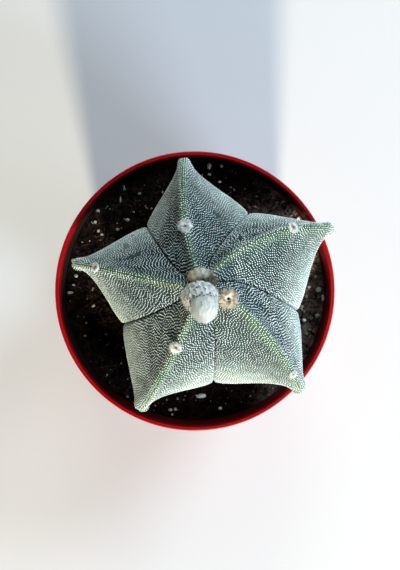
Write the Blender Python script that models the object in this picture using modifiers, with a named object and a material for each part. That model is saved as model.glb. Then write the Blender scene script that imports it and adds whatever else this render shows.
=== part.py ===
"""Potted bishop's cap cactus, in metres, with +Z up and the origin under the middle of the pot's foot.

Six solids: a turned plastic pot, the soil that fills it, the five-ribbed body with its areoles,
the scaly flower bud on the crown, the wool behind the bud and the scar of an older flower.
"""

import math
import random

import bmesh
import bpy
from mathutils import Matrix, Vector, noise

# Space kept between pieces that touch
GAP = 0.0003

# Pot
RIM_RADIUS = 0.045
POT_HEIGHT = 0.080
FOOT_RADIUS = 0.0315
POT_WALL = 0.0013
BAND_HEIGHT = 0.011
BAND_STEP = 0.0011
FLOOR_TOP = 0.0026
FLOOR_BOTTOM = 0.0012
FOOT_RING = 0.0035
CORNER = 0.0012
DRAIN_HOLES = 6
DRAIN_RADIUS = 0.0032
DRAIN_CIRCLE = 0.0175
POT_STEPS = 52

# Soil
SOIL_TOP = POT_HEIGHT - 0.010
SOIL_BUMP = 0.0010
SOIL_STEPS = 48
SOIL_RINGS = 8
GRAINS = 60
GRAIN_SIZES = (0.0007, 0.0016)
GRAIN_SPACING = 0.0006
GRAIN_RISE = 0.15
CLEAR_OF_NECK = 0.0050
CLEAR_OF_WALL = 0.0022

# Plant, placed by its crown, and its heights above the soil
PLANT_X = 0.0022
PLANT_Y = 0.0017
CROWN_HEIGHT = 0.055
CROWN_DIP = 0.0035
DIP_RADIUS = 0.0050
WIDEST_HEIGHT = 0.022
NECK_HEIGHT = 0.0018
NECK_RADIUS = 0.0175
ROOT_DEPTH = 0.017
MITRE = 1.25
LINE_STEPS = 8
BODY_RINGS = 34
TOP_SHARE = 0.59
UNDER_SHARE = 0.86

# Each rib: azimuth of its tip in degrees, reach from the axis, how far its crest swirls round at
# the crown and how far it bows sideways halfway, both in degrees, and how hollow its flanks are
# before and after the crest, as a share of their width
RIBS = {
    "lower_left": (-116.2, 0.0432, 3, 1.6, -0.03, 0.07),
    "lower_right": (-46.8, 0.0452, 27.5, -3, 0.06, -0.03),
    "right": (23.9, 0.0448, 33.2, -1, 0.07, -0.02),
    "top": (98.2, 0.0402, 15.2, -0.7, 0.03, 0.01),
    "left": (170.3, 0.0407, 8.4, -2.9, 0.01, 0.08),
}
# The groove that follows each rib, anticlockwise: azimuth, reach, swirl and bow
GROOVES = (
    (-83.0, 0.0301, 22, -3.2),
    (-14.8, 0.0307, 37.5, -5.2),
    (57.0, 0.0268, 23.1, -2.7),
    (133.0, 0.0252, 25, -3.7),
    (206.0, 0.0271, 9.8, -0.2),
)
# Crests are blunted by a swelling this far down the flank, which is thicker at the tips
CREST_BAND = 0.05
CREST_ROUND = 0.0005
TIP_ROUND = 0.0013
WIDE_FLANK = 0.015
# How full the flank is beside the groove, as a share of its width
GROOVE_FULL = 0.046
# The round knob at the tip of each rib
KNOBS = {"lower_left": 0.0021, "lower_right": 0.0020, "right": 0.0017, "top": 0.0013, "left": 0.0019}

# Areoles that show from above: the share of the rib's reach at which each sits, and its radius
AREOLES = (
    ("top", 0.448, 0.0024),
    ("lower_left", 0.451, 0.0021),
    ("right", 0.716, 0.0019),
    ("left", 0.792, 0.0016),
    ("lower_right", 0.846, 0.0015),
)
# An areole's thickness from its middle, as a share of its radius, and how far it stands out
AREOLE_THICK = 0.55
AREOLE_RISE = 0.15
# Smaller areoles under every rib, by their place along its crest line
LOWER_AREOLES = (0.66, 0.75)
LOWER_AREOLE_RADIUS = 0.0018

# Scar of an older flower, by its place on the lower right rib: a ring with a deep hole
SCAR_SHARE = 0.185
SCAR_RING = 0.0017
SCAR_TUBE = 0.0012
SCAR_RISE = 0.0006
SCAR_STEPS = 16

# Flower bud, from the crown: the woolly bun and the silky cone that leans out of it
BUN_MIDDLE = (-0.0006, -0.0031, 0.0046)
BUN_RADIUS = 0.0050
BUN_HALF_LENGTH = 0.0040
BUN_LUMPS = 0.05
CONE_TILT = 47
CONE_AZIMUTH = -84
CONE_RADIUS = 0.0038
CONE_LENGTH = 0.0096
CONE_SHIFT = 0.0009
CONE_TAPER = (0.22, 0.10)
CONE_STANDS_OUT = 0.48
GOLDEN_ANGLE = math.radians(137.5)
SCALES = 56
SCALE_FIRST_LEAN = 48
SCALE_LEAN_STEP = 1.25
SCALE_LOWEST = 0.0028
SCALE_LENGTH = 0.0022
SCALE_RADIUS = 0.0007
SCALE_TIP = 0.0001
SCALE_STANDS_OFF = 0.3

# Felt lumps behind the bud: direction in degrees, distance from the crown's middle and radius
WOOL_LUMPS = (
    (132, 0.0038, 0.0017),
    (110, 0.0036, 0.0016),
    (88, 0.0040, 0.0013),
    (68, 0.0035, 0.0012),
    (46, 0.0034, 0.0012),
    (24, 0.0036, 0.0013),
)
WOOL_RISE = 0.0020

# How lumpy felt is, as a share of a lump's radius
FELT_LUMPS = 0.10
SCAR_LUMPS = 0.16

SEED = 7


def start_scene():
    """Empties the scene and makes one collection for the parts and one for the cutters."""
    for old in list(bpy.data.objects):
        bpy.data.objects.remove(old, do_unlink=True)
    parts = bpy.data.collections.new("potted_cactus")
    cutters = bpy.data.collections.new("cutters")
    for group in (parts, cutters):
        bpy.context.scene.collection.children.link(group)
    cutters.hide_render = True
    return parts, cutters


def finish(name, colour, roughness):
    """A plain material for one solid."""
    material = bpy.data.materials.new(name)
    material.use_nodes = True
    shader = material.node_tree.nodes["Principled BSDF"]
    shader.inputs["Base Color"].default_value = (*colour, 1)
    shader.inputs["Roughness"].default_value = roughness
    shader.inputs["Metallic"].default_value = 0
    return material


def place(bm, name, group, material=None):
    """Makes a named object of a bmesh, which it frees."""
    bmesh.ops.recalc_face_normals(bm, faces=bm.faces)
    mesh = bpy.data.meshes.new(name)
    bm.to_mesh(mesh)
    bm.free()
    thing = bpy.data.objects.new(name, mesh)
    group.objects.link(thing)
    if material:
        mesh.materials.append(material)
    if group.hide_render:
        thing.hide_render = True
        thing.display_type = "WIRE"
    return thing


def freeze(thing):
    """Applies the modifiers and shades the result smooth, with its sharp edges kept."""
    graph = bpy.context.evaluated_depsgraph_get()
    graph.update()
    mesh = bpy.data.meshes.new_from_object(thing.evaluated_get(graph), depsgraph=graph)
    old = thing.data
    thing.modifiers.clear()
    thing.data = mesh
    mesh.name = old.name
    bpy.data.meshes.remove(old)
    mesh.shade_smooth()
    mesh.set_sharp_from_angle(angle=math.radians(40))


def boolean(thing, operation, other):
    """Adds a Boolean with an object or with a whole collection."""
    step = thing.modifiers.new(operation.lower(), "BOOLEAN")
    step.operation = operation
    step.solver = "EXACT"
    if isinstance(other, bpy.types.Collection):
        step.operand_type = "COLLECTION"
        step.collection = other
    else:
        step.object = other


def fuse(thing, shapes):
    """Joins loose shapes to a solid with one union, and removes the shapes."""
    group = bpy.data.collections.new(thing.name + "_shapes")
    bpy.context.scene.collection.children.link(group)
    for number, bm in enumerate(shapes):
        place(bm, f"{thing.name}_shape_{number}", group)
    boolean(thing, "UNION", group)
    freeze(thing)
    for shape in list(group.objects):
        bpy.data.objects.remove(shape, do_unlink=True)
    bpy.data.collections.remove(group)


def turned(name, points, steps, group, material):
    """Turns an outline of (radius, height) points round the upright axis."""
    bm = bmesh.new()
    corners = [bm.verts.new((radius, 0, height)) for radius, height in points]
    for first, second in zip(corners, corners[1:]):
        bm.edges.new((first, second))
    mesh = bpy.data.meshes.new(name)
    bm.to_mesh(mesh)
    bm.free()
    thing = bpy.data.objects.new(name, mesh)
    group.objects.link(thing)
    mesh.materials.append(material)
    screw = thing.modifiers.new("turn", "SCREW")
    screw.steps = steps
    screw.render_steps = steps
    screw.use_merge_vertices = True
    screw.merge_threshold = 0.00001
    freeze(thing)
    return thing


def pot_outside(height):
    """Radius of the tapered wall's outer side, below the band."""
    band_foot = POT_HEIGHT - BAND_HEIGHT
    return FOOT_RADIUS + (RIM_RADIUS - BAND_STEP - FOOT_RADIUS) * height / band_foot


def pot_inside(height):
    """Radius of the inner side, which widens into the band."""
    band_foot = POT_HEIGHT - BAND_HEIGHT
    if height <= band_foot:
        return pot_outside(height) - POT_WALL
    widening = BAND_STEP * (height - band_foot) / BAND_HEIGHT
    return pot_outside(band_foot) - POT_WALL + widening


def build_pot(group, cutters):
    """A thin tapered shell with a rounded lip, a stiffening band, a foot ring and drain holes."""
    band_foot = POT_HEIGHT - BAND_HEIGHT
    lip = POT_WALL / 2
    lip_height = POT_HEIGHT - lip
    outline = [
        (0, FLOOR_TOP),
        (pot_inside(FLOOR_TOP) - CORNER, FLOOR_TOP),
        (pot_inside(FLOOR_TOP + CORNER), FLOOR_TOP + CORNER),
        (pot_inside(band_foot), band_foot),
    ]
    for step in range(7):
        turn = math.pi * step / 6
        outline.append((RIM_RADIUS - lip - lip * math.cos(turn), lip_height + lip * math.sin(turn)))
    outline += [
        (RIM_RADIUS - 0.3 * BAND_STEP, band_foot + 0.4 * BAND_STEP),
        (RIM_RADIUS - 0.6 * BAND_STEP, band_foot),
        (pot_outside(band_foot), band_foot - 0.2 * BAND_STEP),
        (pot_outside(CORNER), CORNER),
        (FOOT_RADIUS - CORNER / 2, 0),
        (FOOT_RADIUS - FOOT_RING, 0),
        (FOOT_RADIUS - FOOT_RING - CORNER / 2, FLOOR_BOTTOM),
        (0, FLOOR_BOTTOM),
    ]
    material = finish("red_plastic", (0.60, 0.012, 0.014), 0.28)
    pot = turned("pot", outline, POT_STEPS, group, material)
    drains = bmesh.new()
    for number in range(DRAIN_HOLES):
        turn = 2 * math.pi * number / DRAIN_HOLES
        middle = (DRAIN_CIRCLE * math.cos(turn), DRAIN_CIRCLE * math.sin(turn), FLOOR_TOP)
        bmesh.ops.create_cone(
            drains, cap_ends=True, segments=14, radius1=DRAIN_RADIUS, radius2=DRAIN_RADIUS,
            depth=4 * FLOOR_TOP, matrix=Matrix.Translation(middle),
        )
    boolean(pot, "DIFFERENCE", place(drains, "drain_cutter", cutters))
    freeze(pot)
    return pot


def soil_height(x, y):
    """Height of the lumpy soil surface."""
    coarse = noise.noise(Vector((x, y, 0)) * 90)
    fine = noise.noise(Vector((x, y, 0.02)) * 260)
    return SOIL_TOP + SOIL_BUMP * (0.8 * coarse + 0.5 * fine)


def grain_spots(draw):
    """Places for grains and crumbs, kept off the pot's wall, the plant's neck and each other."""
    spots = []
    inner = NECK_RADIUS + CLEAR_OF_NECK
    outer = pot_inside(SOIL_TOP) - CLEAR_OF_WALL
    while len(spots) < GRAINS:
        radius = outer * math.sqrt(draw.random())
        turn = 2 * math.pi * draw.random()
        size = draw.uniform(*GRAIN_SIZES)
        spot = Vector((radius * math.cos(turn), radius * math.sin(turn)))
        clear = all((spot - other).length > size + other_size + GRAIN_SPACING for other, other_size in spots)
        if clear and (spot - Vector((PLANT_X, PLANT_Y))).length > inner:
            spots.append((spot, size))
    return spots


def grain(draw, spot, size):
    """One angular grain, half sunk in the soil."""
    bm = bmesh.new()
    bmesh.ops.create_icosphere(bm, subdivisions=1, radius=size)
    for vert in bm.verts:
        vert.co *= draw.uniform(0.8, 1.15)
    squash = Matrix.Diagonal((draw.uniform(0.8, 1.3), draw.uniform(0.7, 1.0), draw.uniform(0.6, 0.9), 1))
    turn = Matrix.Rotation(draw.uniform(0, math.tau), 4, "Z")
    tip = Matrix.Rotation(draw.uniform(-0.5, 0.5), 4, "X")
    middle = Matrix.Translation((spot.x, spot.y, soil_height(spot.x, spot.y) + GRAIN_RISE * size))
    bmesh.ops.transform(bm, matrix=middle @ turn @ tip @ squash, verts=bm.verts)
    return bm


def build_soil(group, cutters):
    """The mass that fills the pot, lumpy on top, with grains fused in and a round hole for the root."""
    foot = FLOOR_TOP + GAP
    edge = pot_inside(SOIL_TOP) - GAP
    outline = [(edge * math.sqrt(ring / SOIL_RINGS), SOIL_TOP) for ring in range(SOIL_RINGS + 1)]
    outline += [
        (pot_inside(FLOOR_TOP + CORNER) - GAP, FLOOR_TOP + CORNER + GAP),
        (pot_inside(FLOOR_TOP) - CORNER - GAP, foot),
        (0, foot),
    ]
    soil = turned("soil", outline, SOIL_STEPS, group, finish("peat", (0.020, 0.015, 0.012), 0.95))
    for vert in soil.data.vertices:
        if vert.co.z > SOIL_TOP - GAP:
            vert.co.z = soil_height(vert.co.x, vert.co.y)
    draw = random.Random(SEED)
    fuse(soil, [grain(draw, spot, size) for spot, size in grain_spots(draw)])
    hole = bmesh.new()
    top = SOIL_TOP + 0.010
    bottom = SOIL_TOP - ROOT_DEPTH - GAP
    bmesh.ops.create_cone(
        hole, cap_ends=True, segments=40, radius1=NECK_RADIUS + 2 * GAP, radius2=NECK_RADIUS + 2 * GAP,
        depth=top - bottom, matrix=Matrix.Translation((PLANT_X, PLANT_Y, (top + bottom) / 2)),
    )
    boolean(soil, "DIFFERENCE", place(hole, "root_hole_cutter", cutters))
    freeze(soil)
    return soil


def body_lines():
    """Crest and groove lines in turn, anticlockwise: azimuth, reach, swirl, bow, is it a crest."""
    lines = []
    for rib, groove in zip(RIBS.values(), GROOVES):
        for azimuth, reach, swirl, bow in (rib[:4], groove):
            is_crest = len(lines) % 2 == 0
            lines.append((math.radians(azimuth), reach, math.radians(swirl), math.radians(bow), is_crest))
    return lines


def line_point(line, along):
    """Radius, azimuth and height on one line, from the crown (0) to the root's foot (1)."""
    azimuth, reach, swirl, bow, is_crest = line
    widest = SOIL_TOP + WIDEST_HEIGHT
    neck = SOIL_TOP + NECK_HEIGHT
    if along <= TOP_SHARE:
        turn = math.pi / 2 * along / TOP_SHARE
        share = math.sin(turn) ** MITRE
        rise = CROWN_HEIGHT - WIDEST_HEIGHT - (0 if is_crest else CROWN_DIP)
        height = widest + rise * math.cos(turn) ** (MITRE if is_crest else 1.05)
        if is_crest:
            height -= CROWN_DIP * math.exp(-((share * reach / DIP_RADIUS) ** 2))
        return share * reach, azimuth + (swirl + 4 * bow * share) * (1 - share), height
    if along <= UNDER_SHARE:
        turn = math.pi / 2 * (along - TOP_SHARE) / (UNDER_SHARE - TOP_SHARE)
        radius = NECK_RADIUS + (reach - NECK_RADIUS) * math.cos(turn) ** 1.2
        return radius, azimuth, widest - (widest - neck) * math.sin(turn)
    turn = math.pi / 2 * (along - UNDER_SHARE) / (1 - UNDER_SHARE)
    radius = NECK_RADIUS * math.cos(turn) ** 0.5
    return radius, azimuth, neck - (NECK_HEIGHT + ROOT_DEPTH) * math.sin(turn) ** 0.8


def body_point(along, turn):
    """A point of the skin: along from crown to root, turn from 0 to 10 over the crest and groove lines."""
    lines = body_lines()
    number = int(turn) % 10
    part = turn - int(turn)
    first = lines[number]
    second = lines[(number + 1) % 10]
    if number == 9:
        second = (second[0] + math.tau, *second[1:])
    crest, groove = (first, second) if first[-1] else (second, first)
    from_crest = part if first[-1] else 1 - part
    share = (1 - math.cos(math.pi * from_crest)) / 2
    hollows = list(RIBS.values())[((number + 1) // 2) % 5][4:]
    hollow = hollows[1] if first[-1] else hollows[0]
    radius, azimuth, crest_z = line_point(crest, along)
    crest_xy = Vector((radius * math.cos(azimuth), radius * math.sin(azimuth)))
    radius, azimuth, groove_z = line_point(groove, along)
    groove_xy = Vector((radius * math.cos(azimuth), radius * math.sin(azimuth)))
    flank = groove_xy - crest_xy
    spot = crest_xy + flank * share
    out = Vector((flank.y, -flank.x))
    out = out * (1 if out.dot(crest_xy) > 0 else -1)
    out = out.normalized() if out.length > 1e-7 else Vector((0, 0))
    height = crest_z + (groove_z - crest_z) * share
    # The ribs fade out under the widest level, and with them the shaping of their flanks
    level = min(1, along / TOP_SHARE)
    fade = 1 if along <= TOP_SHARE else max(0, 1 - (along - TOP_SHARE) / (UNDER_SHARE - TOP_SHARE))
    blunt = CREST_ROUND + (TIP_ROUND - CREST_ROUND) * level**6
    size = min(1, flank.length / WIDE_FLANK) * fade
    swell = blunt * size * (share / CREST_BAND) * math.exp(1 - share / CREST_BAND)
    swell -= hollow * flank.length * fade * level**2 * math.sin(math.pi * share**0.6)
    swell += GROOVE_FULL * flank.length * fade * share**2 * (1 - share**6)
    tilt = math.pi / 4 * (1 + level) if along <= TOP_SHARE else math.pi / 2 + 0.6 * (1 - fade)
    spot += out * swell * math.sin(tilt)
    height += swell * math.cos(tilt)
    return Vector((PLANT_X + spot.x, PLANT_Y + spot.y, height))


def body_mesh():
    """A sphere's mesh laid over the plant's form."""
    bm = bmesh.new()
    bmesh.ops.create_uvsphere(bm, u_segments=10 * LINE_STEPS, v_segments=BODY_RINGS, radius=1)
    for vert in bm.verts:
        along = math.acos(max(-1, min(1, vert.co.z))) / math.pi
        turn = (math.atan2(vert.co.y, vert.co.x) / math.tau) % 1 * 10
        nearest = round(turn * LINE_STEPS) / LINE_STEPS % 10
        vert.co = body_point(along, nearest)
    return bm


def crest_spot(rib, along):
    """A point on a rib's crest, and the direction that points straight out of it."""
    line = body_lines()[2 * list(RIBS).index(rib)]
    step = 0.01
    spots = []
    for place_along in (along - step, along, along + step):
        radius, azimuth, height = line_point(line, place_along)
        spots.append(
            Vector((PLANT_X + radius * math.cos(azimuth), PLANT_Y + radius * math.sin(azimuth), height))
        )
    tangent = (spots[2] - spots[0]).normalized()
    sideways = Vector((-math.sin(azimuth), math.cos(azimuth), 0))
    return spots[1], tangent.cross(sideways).normalized()


def along_of(share):
    """Where a line's radius is this share of its reach, above the widest level."""
    return TOP_SHARE * math.asin(share ** (1 / MITRE)) / (math.pi / 2)


def areole(rib, along, radius):
    """A felt pad that sits astride the crest, half sunk in it."""
    spot, out = crest_spot(rib, along)
    bm = bmesh.new()
    bmesh.ops.create_uvsphere(bm, u_segments=10, v_segments=6, radius=1)
    shape = Matrix.Diagonal((radius, radius, AREOLE_THICK * radius, 1))
    turn = out.to_track_quat("Z", "Y").to_matrix().to_4x4()
    middle = Matrix.Translation(spot + out * (AREOLE_RISE * radius))
    bmesh.ops.transform(bm, matrix=middle @ turn @ shape, verts=bm.verts)
    return bm


def tip_knob(rib):
    """The round end of a rib, where its crest turns under at the widest level."""
    spot, out = crest_spot(rib, TOP_SHARE + 0.005)
    radius = KNOBS[rib]
    bm = bmesh.new()
    bmesh.ops.create_uvsphere(bm, u_segments=12, v_segments=8, radius=radius)
    bmesh.ops.transform(bm, matrix=Matrix.Translation(spot - out * (0.75 * radius)), verts=bm.verts)
    return bm


def build_body(group):
    """The ribbed body with its areoles: those seen from above, then two lower ones on every rib."""
    body = place(body_mesh(), "cactus_body", group, finish("skin", (0.10, 0.19, 0.15), 0.6))
    draw = random.Random(SEED)
    pads = []
    for rib, share, radius in AREOLES:
        pads.append(areole(rib, along_of(share), radius))
    for rib in RIBS:
        pads.append(tip_knob(rib))
        for lower in LOWER_AREOLES:
            along = lower + draw.uniform(-0.01, 0.01)
            pads.append(areole(rib, along, LOWER_AREOLE_RADIUS))
    fuse(body, pads)
    return body


def crown():
    """The growing point, in the dip between the ribs."""
    return Vector((PLANT_X, PLANT_Y, SOIL_TOP + CROWN_HEIGHT - CROWN_DIP))


def bud_axis():
    """Direction in which the bud leans."""
    tilt = math.radians(CONE_TILT)
    azimuth = math.radians(CONE_AZIMUTH)
    outwards = math.sin(tilt)
    return Vector((outwards * math.cos(azimuth), outwards * math.sin(azimuth), math.cos(tilt)))


def bun_middle():
    """Middle of the bud's woolly foot."""
    return crown() + Vector(BUN_MIDDLE)


def along_axis(middle):
    """A transform that stands a shape on a point, with its +Z along the bud's axis."""
    return Matrix.Translation(middle) @ bud_axis().to_track_quat("Z", "Y").to_matrix().to_4x4()


def silky_cone(grow=0.0):
    """The blunt cone of the bud's own tip, an egg that tapers towards its far end."""
    bm = bmesh.new()
    bmesh.ops.create_uvsphere(bm, u_segments=20, v_segments=12, radius=1)
    for vert in bm.verts:
        taper = 1 - CONE_TAPER[0] * vert.co.z - CONE_TAPER[1] * vert.co.z**2
        vert.co.x *= taper * (CONE_RADIUS + grow)
        vert.co.y *= taper * (CONE_RADIUS + grow)
        vert.co.z *= CONE_LENGTH / 2 + grow
    middle = bun_middle() + Vector((CONE_SHIFT, 0, 0)) + bud_axis() * (CONE_LENGTH * CONE_STANDS_OUT)
    bmesh.ops.transform(bm, matrix=along_axis(middle), verts=bm.verts)
    return bm


def woolly_bun(grow=0.0):
    """The bud's thick foot, a lumpy bun."""
    bm = bmesh.new()
    bmesh.ops.create_uvsphere(bm, u_segments=20, v_segments=12, radius=1)
    for vert in bm.verts:
        lump = 1 + BUN_LUMPS * noise.noise(vert.co * 3)
        vert.co.x *= (BUN_RADIUS + grow) * lump
        vert.co.y *= (BUN_RADIUS + grow) * lump
        vert.co.z *= (BUN_HALF_LENGTH + grow) * lump
    bmesh.ops.transform(bm, matrix=along_axis(bun_middle()), verts=bm.verts)
    return bm


def scale_leaf(middle, out, tip_way):
    """One bract: a flat pointed spike that lies back along the bud with its tip standing free."""
    bm = bmesh.new()
    bmesh.ops.create_cone(
        bm, cap_ends=True, segments=4, radius1=SCALE_RADIUS, radius2=SCALE_TIP, depth=SCALE_LENGTH,
    )
    point_way = (tip_way + SCALE_STANDS_OFF * out).normalized()
    turn = point_way.to_track_quat("Z", "Y").to_matrix().to_4x4()
    bmesh.ops.transform(bm, matrix=Matrix.Translation(middle) @ turn, verts=bm.verts)
    return bm


def bud_scales():
    """Scales in a spiral down the bun, each turned by the golden angle from the one before."""
    axis = bud_axis()
    side = axis.orthogonal().normalized()
    other = axis.cross(side)
    scales = []
    for number in range(SCALES):
        lean = math.radians(SCALE_FIRST_LEAN + SCALE_LEAN_STEP * number)
        turn = number * GOLDEN_ANGLE
        around = side * math.cos(turn) + other * math.sin(turn)
        up = axis * math.cos(lean)
        away = around * math.sin(lean)
        spot = bun_middle() + up * BUN_HALF_LENGTH + away * BUN_RADIUS
        out = (up * BUN_RADIUS + away * BUN_HALF_LENGTH).normalized()
        tip_way = (axis - out * axis.dot(out)).normalized()
        if spot.z > crown().z + SCALE_LOWEST:
            scales.append(scale_leaf(spot, out, tip_way))
    return scales


def build_bud(group, lifted_body):
    """The bun and the cone as one solid with the scales, cut to sit on the ribs round the crown."""
    bud = place(woolly_bun(), "flower_bud", group, finish("bud_wool", (0.62, 0.60, 0.55), 0.9))
    fuse(bud, [silky_cone(), *bud_scales()])
    boolean(bud, "DIFFERENCE", lifted_body)
    freeze(bud)
    return bud


def build_wool(group, lifted_body, grown_bud):
    """A collar of felt lumps behind the bud, buff at one end and pale at the other."""
    lumps = []
    for turn, reach, radius in WOOL_LUMPS:
        bm = bmesh.new()
        bmesh.ops.create_uvsphere(bm, u_segments=10, v_segments=6, radius=radius)
        for vert in bm.verts:
            vert.co *= 1 + FELT_LUMPS * noise.noise(vert.co * 900)
        angle = math.radians(turn)
        middle = crown() + Vector((reach * math.cos(angle), reach * math.sin(angle), WOOL_RISE))
        bmesh.ops.transform(bm, matrix=Matrix.Translation(middle), verts=bm.verts)
        lumps.append(bm)
    wool = place(lumps[0], "crown_wool", group, finish("felt", (0.55, 0.48, 0.36), 0.95))
    fuse(wool, lumps[1:])
    boolean(wool, "DIFFERENCE", lifted_body)
    boolean(wool, "DIFFERENCE", grown_bud)
    freeze(wool)
    return wool


def build_scar(group, lifted_body, grown_bud):
    """The ragged ring that an older flower left on a crest, with a deep hole in its middle."""
    spot, out = crest_spot("lower_right", along_of(SCAR_SHARE))
    bm = bmesh.new()
    section = Matrix.Translation((SCAR_RING, 0, 0)) @ Matrix.Rotation(math.pi / 2, 4, "X")
    bmesh.ops.create_circle(bm, segments=8, radius=SCAR_TUBE, matrix=section)
    bmesh.ops.spin(
        bm, geom=bm.verts[:] + bm.edges[:], cent=(0, 0, 0), axis=(0, 0, 1), angle=math.tau,
        steps=SCAR_STEPS, use_merge=True,
    )
    bmesh.ops.remove_doubles(bm, verts=bm.verts, dist=0.00001)
    for vert in bm.verts:
        vert.co *= 1 + SCAR_LUMPS * noise.noise(vert.co * 900)
    turn = out.to_track_quat("Z", "Y").to_matrix().to_4x4()
    bmesh.ops.transform(bm, matrix=Matrix.Translation(spot + out * SCAR_RISE) @ turn, verts=bm.verts)
    scar = place(bm, "flower_scar", group, finish("dry_felt", (0.58, 0.50, 0.36), 0.95))
    boolean(scar, "DIFFERENCE", lifted_body)
    boolean(scar, "DIFFERENCE", grown_bud)
    freeze(scar)
    return scar


def build_all():
    """Builds every solid. What sits on the crown is cut by copies of what it rests on."""
    parts, cutters = start_scene()
    build_pot(parts, cutters)
    build_soil(parts, cutters)
    build_body(parts)
    # This copy of the body is lifted a little, so that it leaves a gap all along what it cuts
    lifted_body = place(body_mesh(), "body_cutter", cutters)
    lifted_body.location.z = 1.4 * GAP
    build_bud(parts, lifted_body)
    grown_bud = place(woolly_bun(GAP), "bud_cutter", cutters)
    fuse(grown_bud, [silky_cone(GAP)])
    build_wool(parts, lifted_body, grown_bud)
    build_scar(parts, lifted_body, grown_bud)


build_all()
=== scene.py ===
# %% [markdown]
# # A star cactus in a red pot
# We dress a small potted cactus: five sharp ribs under thousands of white flecks, a woolly bud on
# the crown, dark peat with white grains, and a red plastic pot seen from straight above.
# Everything is in metres and stands where the solid model stands, so nothing has to be fitted.

# %% The frame and the tools
import math

import bmesh
import bpy
import numpy as np
from mathutils import Matrix, Vector, noise
from mathutils.bvhtree import BVHTree


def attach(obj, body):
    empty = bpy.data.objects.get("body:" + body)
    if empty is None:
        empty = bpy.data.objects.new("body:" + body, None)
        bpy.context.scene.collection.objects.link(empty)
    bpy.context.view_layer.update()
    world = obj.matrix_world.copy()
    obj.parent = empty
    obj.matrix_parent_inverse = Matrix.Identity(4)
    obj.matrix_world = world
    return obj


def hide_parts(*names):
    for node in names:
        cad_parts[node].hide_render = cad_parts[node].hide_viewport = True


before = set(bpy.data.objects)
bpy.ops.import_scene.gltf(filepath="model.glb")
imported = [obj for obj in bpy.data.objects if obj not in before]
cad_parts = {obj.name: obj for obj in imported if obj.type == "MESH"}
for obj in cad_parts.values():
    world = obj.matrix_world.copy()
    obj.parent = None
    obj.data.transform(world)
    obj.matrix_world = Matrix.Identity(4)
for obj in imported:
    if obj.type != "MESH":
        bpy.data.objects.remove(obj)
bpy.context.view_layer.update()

# %% [markdown]
# ## Shader maths as plain Python
# A node material is a little program. Wiring it by hand is slow to read, so one class wraps a
# socket and turns `a * b` into a Math node, and a second one keeps the recipe of one material.

# %% A socket that understands arithmetic


def operator(operation, swapped=False):
    """A method that adds a Math node, for one of Python's operators."""

    def method(self, other):
        values = (other, self) if swapped else (self, other)
        return self.recipe.add("ShaderNodeMath", {"operation": operation}, dict(enumerate(values)))

    return method


class Value:
    """A number that changes over a surface."""

    def __init__(self, recipe, socket):
        self.recipe = recipe
        self.socket = socket

    __add__ = operator("ADD")
    __radd__ = operator("ADD", swapped=True)
    __sub__ = operator("SUBTRACT")
    __rsub__ = operator("SUBTRACT", swapped=True)
    __mul__ = operator("MULTIPLY")
    __rmul__ = operator("MULTIPLY", swapped=True)
    __truediv__ = operator("DIVIDE")
    __rtruediv__ = operator("DIVIDE", swapped=True)
    __pow__ = operator("POWER")


# %% A recipe for one material


class Recipe:
    """A Principled material. Constants go straight onto the shader's own sockets."""

    def __init__(self, name, **constants):
        self.material = bpy.data.materials.new(name)
        self.material.use_nodes = True
        self.nodes = self.material.node_tree.nodes
        self.shader = self.nodes["Principled BSDF"]
        self.feed(**constants)

    def put(self, node, key, value):
        """Links a value to a node's socket, or sets the socket to a number or a colour."""
        socket = node.inputs[key]
        if isinstance(value, Value):
            self.material.node_tree.links.new(value.socket, socket)
        elif isinstance(value, tuple) and len(value) == 3 and socket.type == "RGBA":
            socket.default_value = (*value, 1)
        else:
            socket.default_value = value

    def add(self, kind, settings, sockets, output=0):
        """Adds any node: first its settings, then the values or links of its sockets."""
        node = self.nodes.new(kind)
        for key, value in settings.items():
            setattr(node, key, value)
        for key, value in sockets.items():
            self.put(node, key, value)
        return Value(self, node.outputs[output])

    def place(self):
        """The point's place on the object, in metres."""
        return self.add("ShaderNodeTexCoord", {}, {}, "Object")

    def parts(self):
        """The point's x, y and z."""
        split = self.nodes.new("ShaderNodeSeparateXYZ")
        self.put(split, "Vector", self.place())
        return [Value(self, socket) for socket in split.outputs]

    def noise(self, scale, detail=3.0, rough=0.55):
        sockets = {"Vector": self.place(), "Scale": scale, "Detail": detail, "Roughness": rough}
        return self.add("ShaderNodeTexNoise", {}, sockets, "Fac")

    def attribute(self, name):
        return self.add("ShaderNodeAttribute", {"attribute_name": name}, {}, "Fac")

    def band(self, value, low, high):
        """0 where the value is low, 1 where it is high, and smooth between."""
        sockets = {"Value": value, "From Min": low, "From Max": high}
        return self.add("ShaderNodeMapRange", {"interpolation_type": "SMOOTHSTEP"}, sockets)

    def mix(self, share, first, second):
        settings = {"data_type": "RGBA", "clamp_factor": True}
        return self.add("ShaderNodeMix", settings, {0: share, 6: first, 7: second}, 2)

    def bump(self, height, depth):
        return self.add("ShaderNodeBump", {}, {"Height": height, "Distance": depth})

    def feed(self, **values):
        """Sets the shader's sockets or links values to them, and returns the material."""
        for key, value in values.items():
            self.put(self.shader, key.replace("_", " "), value)
        return self.material


def two_tone(name, scale, detail, first, second, **constants):
    """A plain finish whose colour wanders between two."""
    recipe = Recipe(name, **constants)
    return recipe.feed(Base_Color=recipe.mix(recipe.noise(scale, detail), first, second))


# %% [markdown]
# ## Finished pieces and crowds of copies
# A piece is a mesh with its place already in it. Flecks, crumbs and hairs are crowds: an Array
# modifier stacks copies of one small shape, and a few lines of array maths then send every copy
# to its own place. It is far quicker than calling an operator ten thousand times.

# %% Finishing a piece


def linked(name, data):
    """A new object in the scene."""
    thing = bpy.data.objects.new(name, data)
    bpy.context.scene.collection.objects.link(thing)
    return thing


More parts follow.
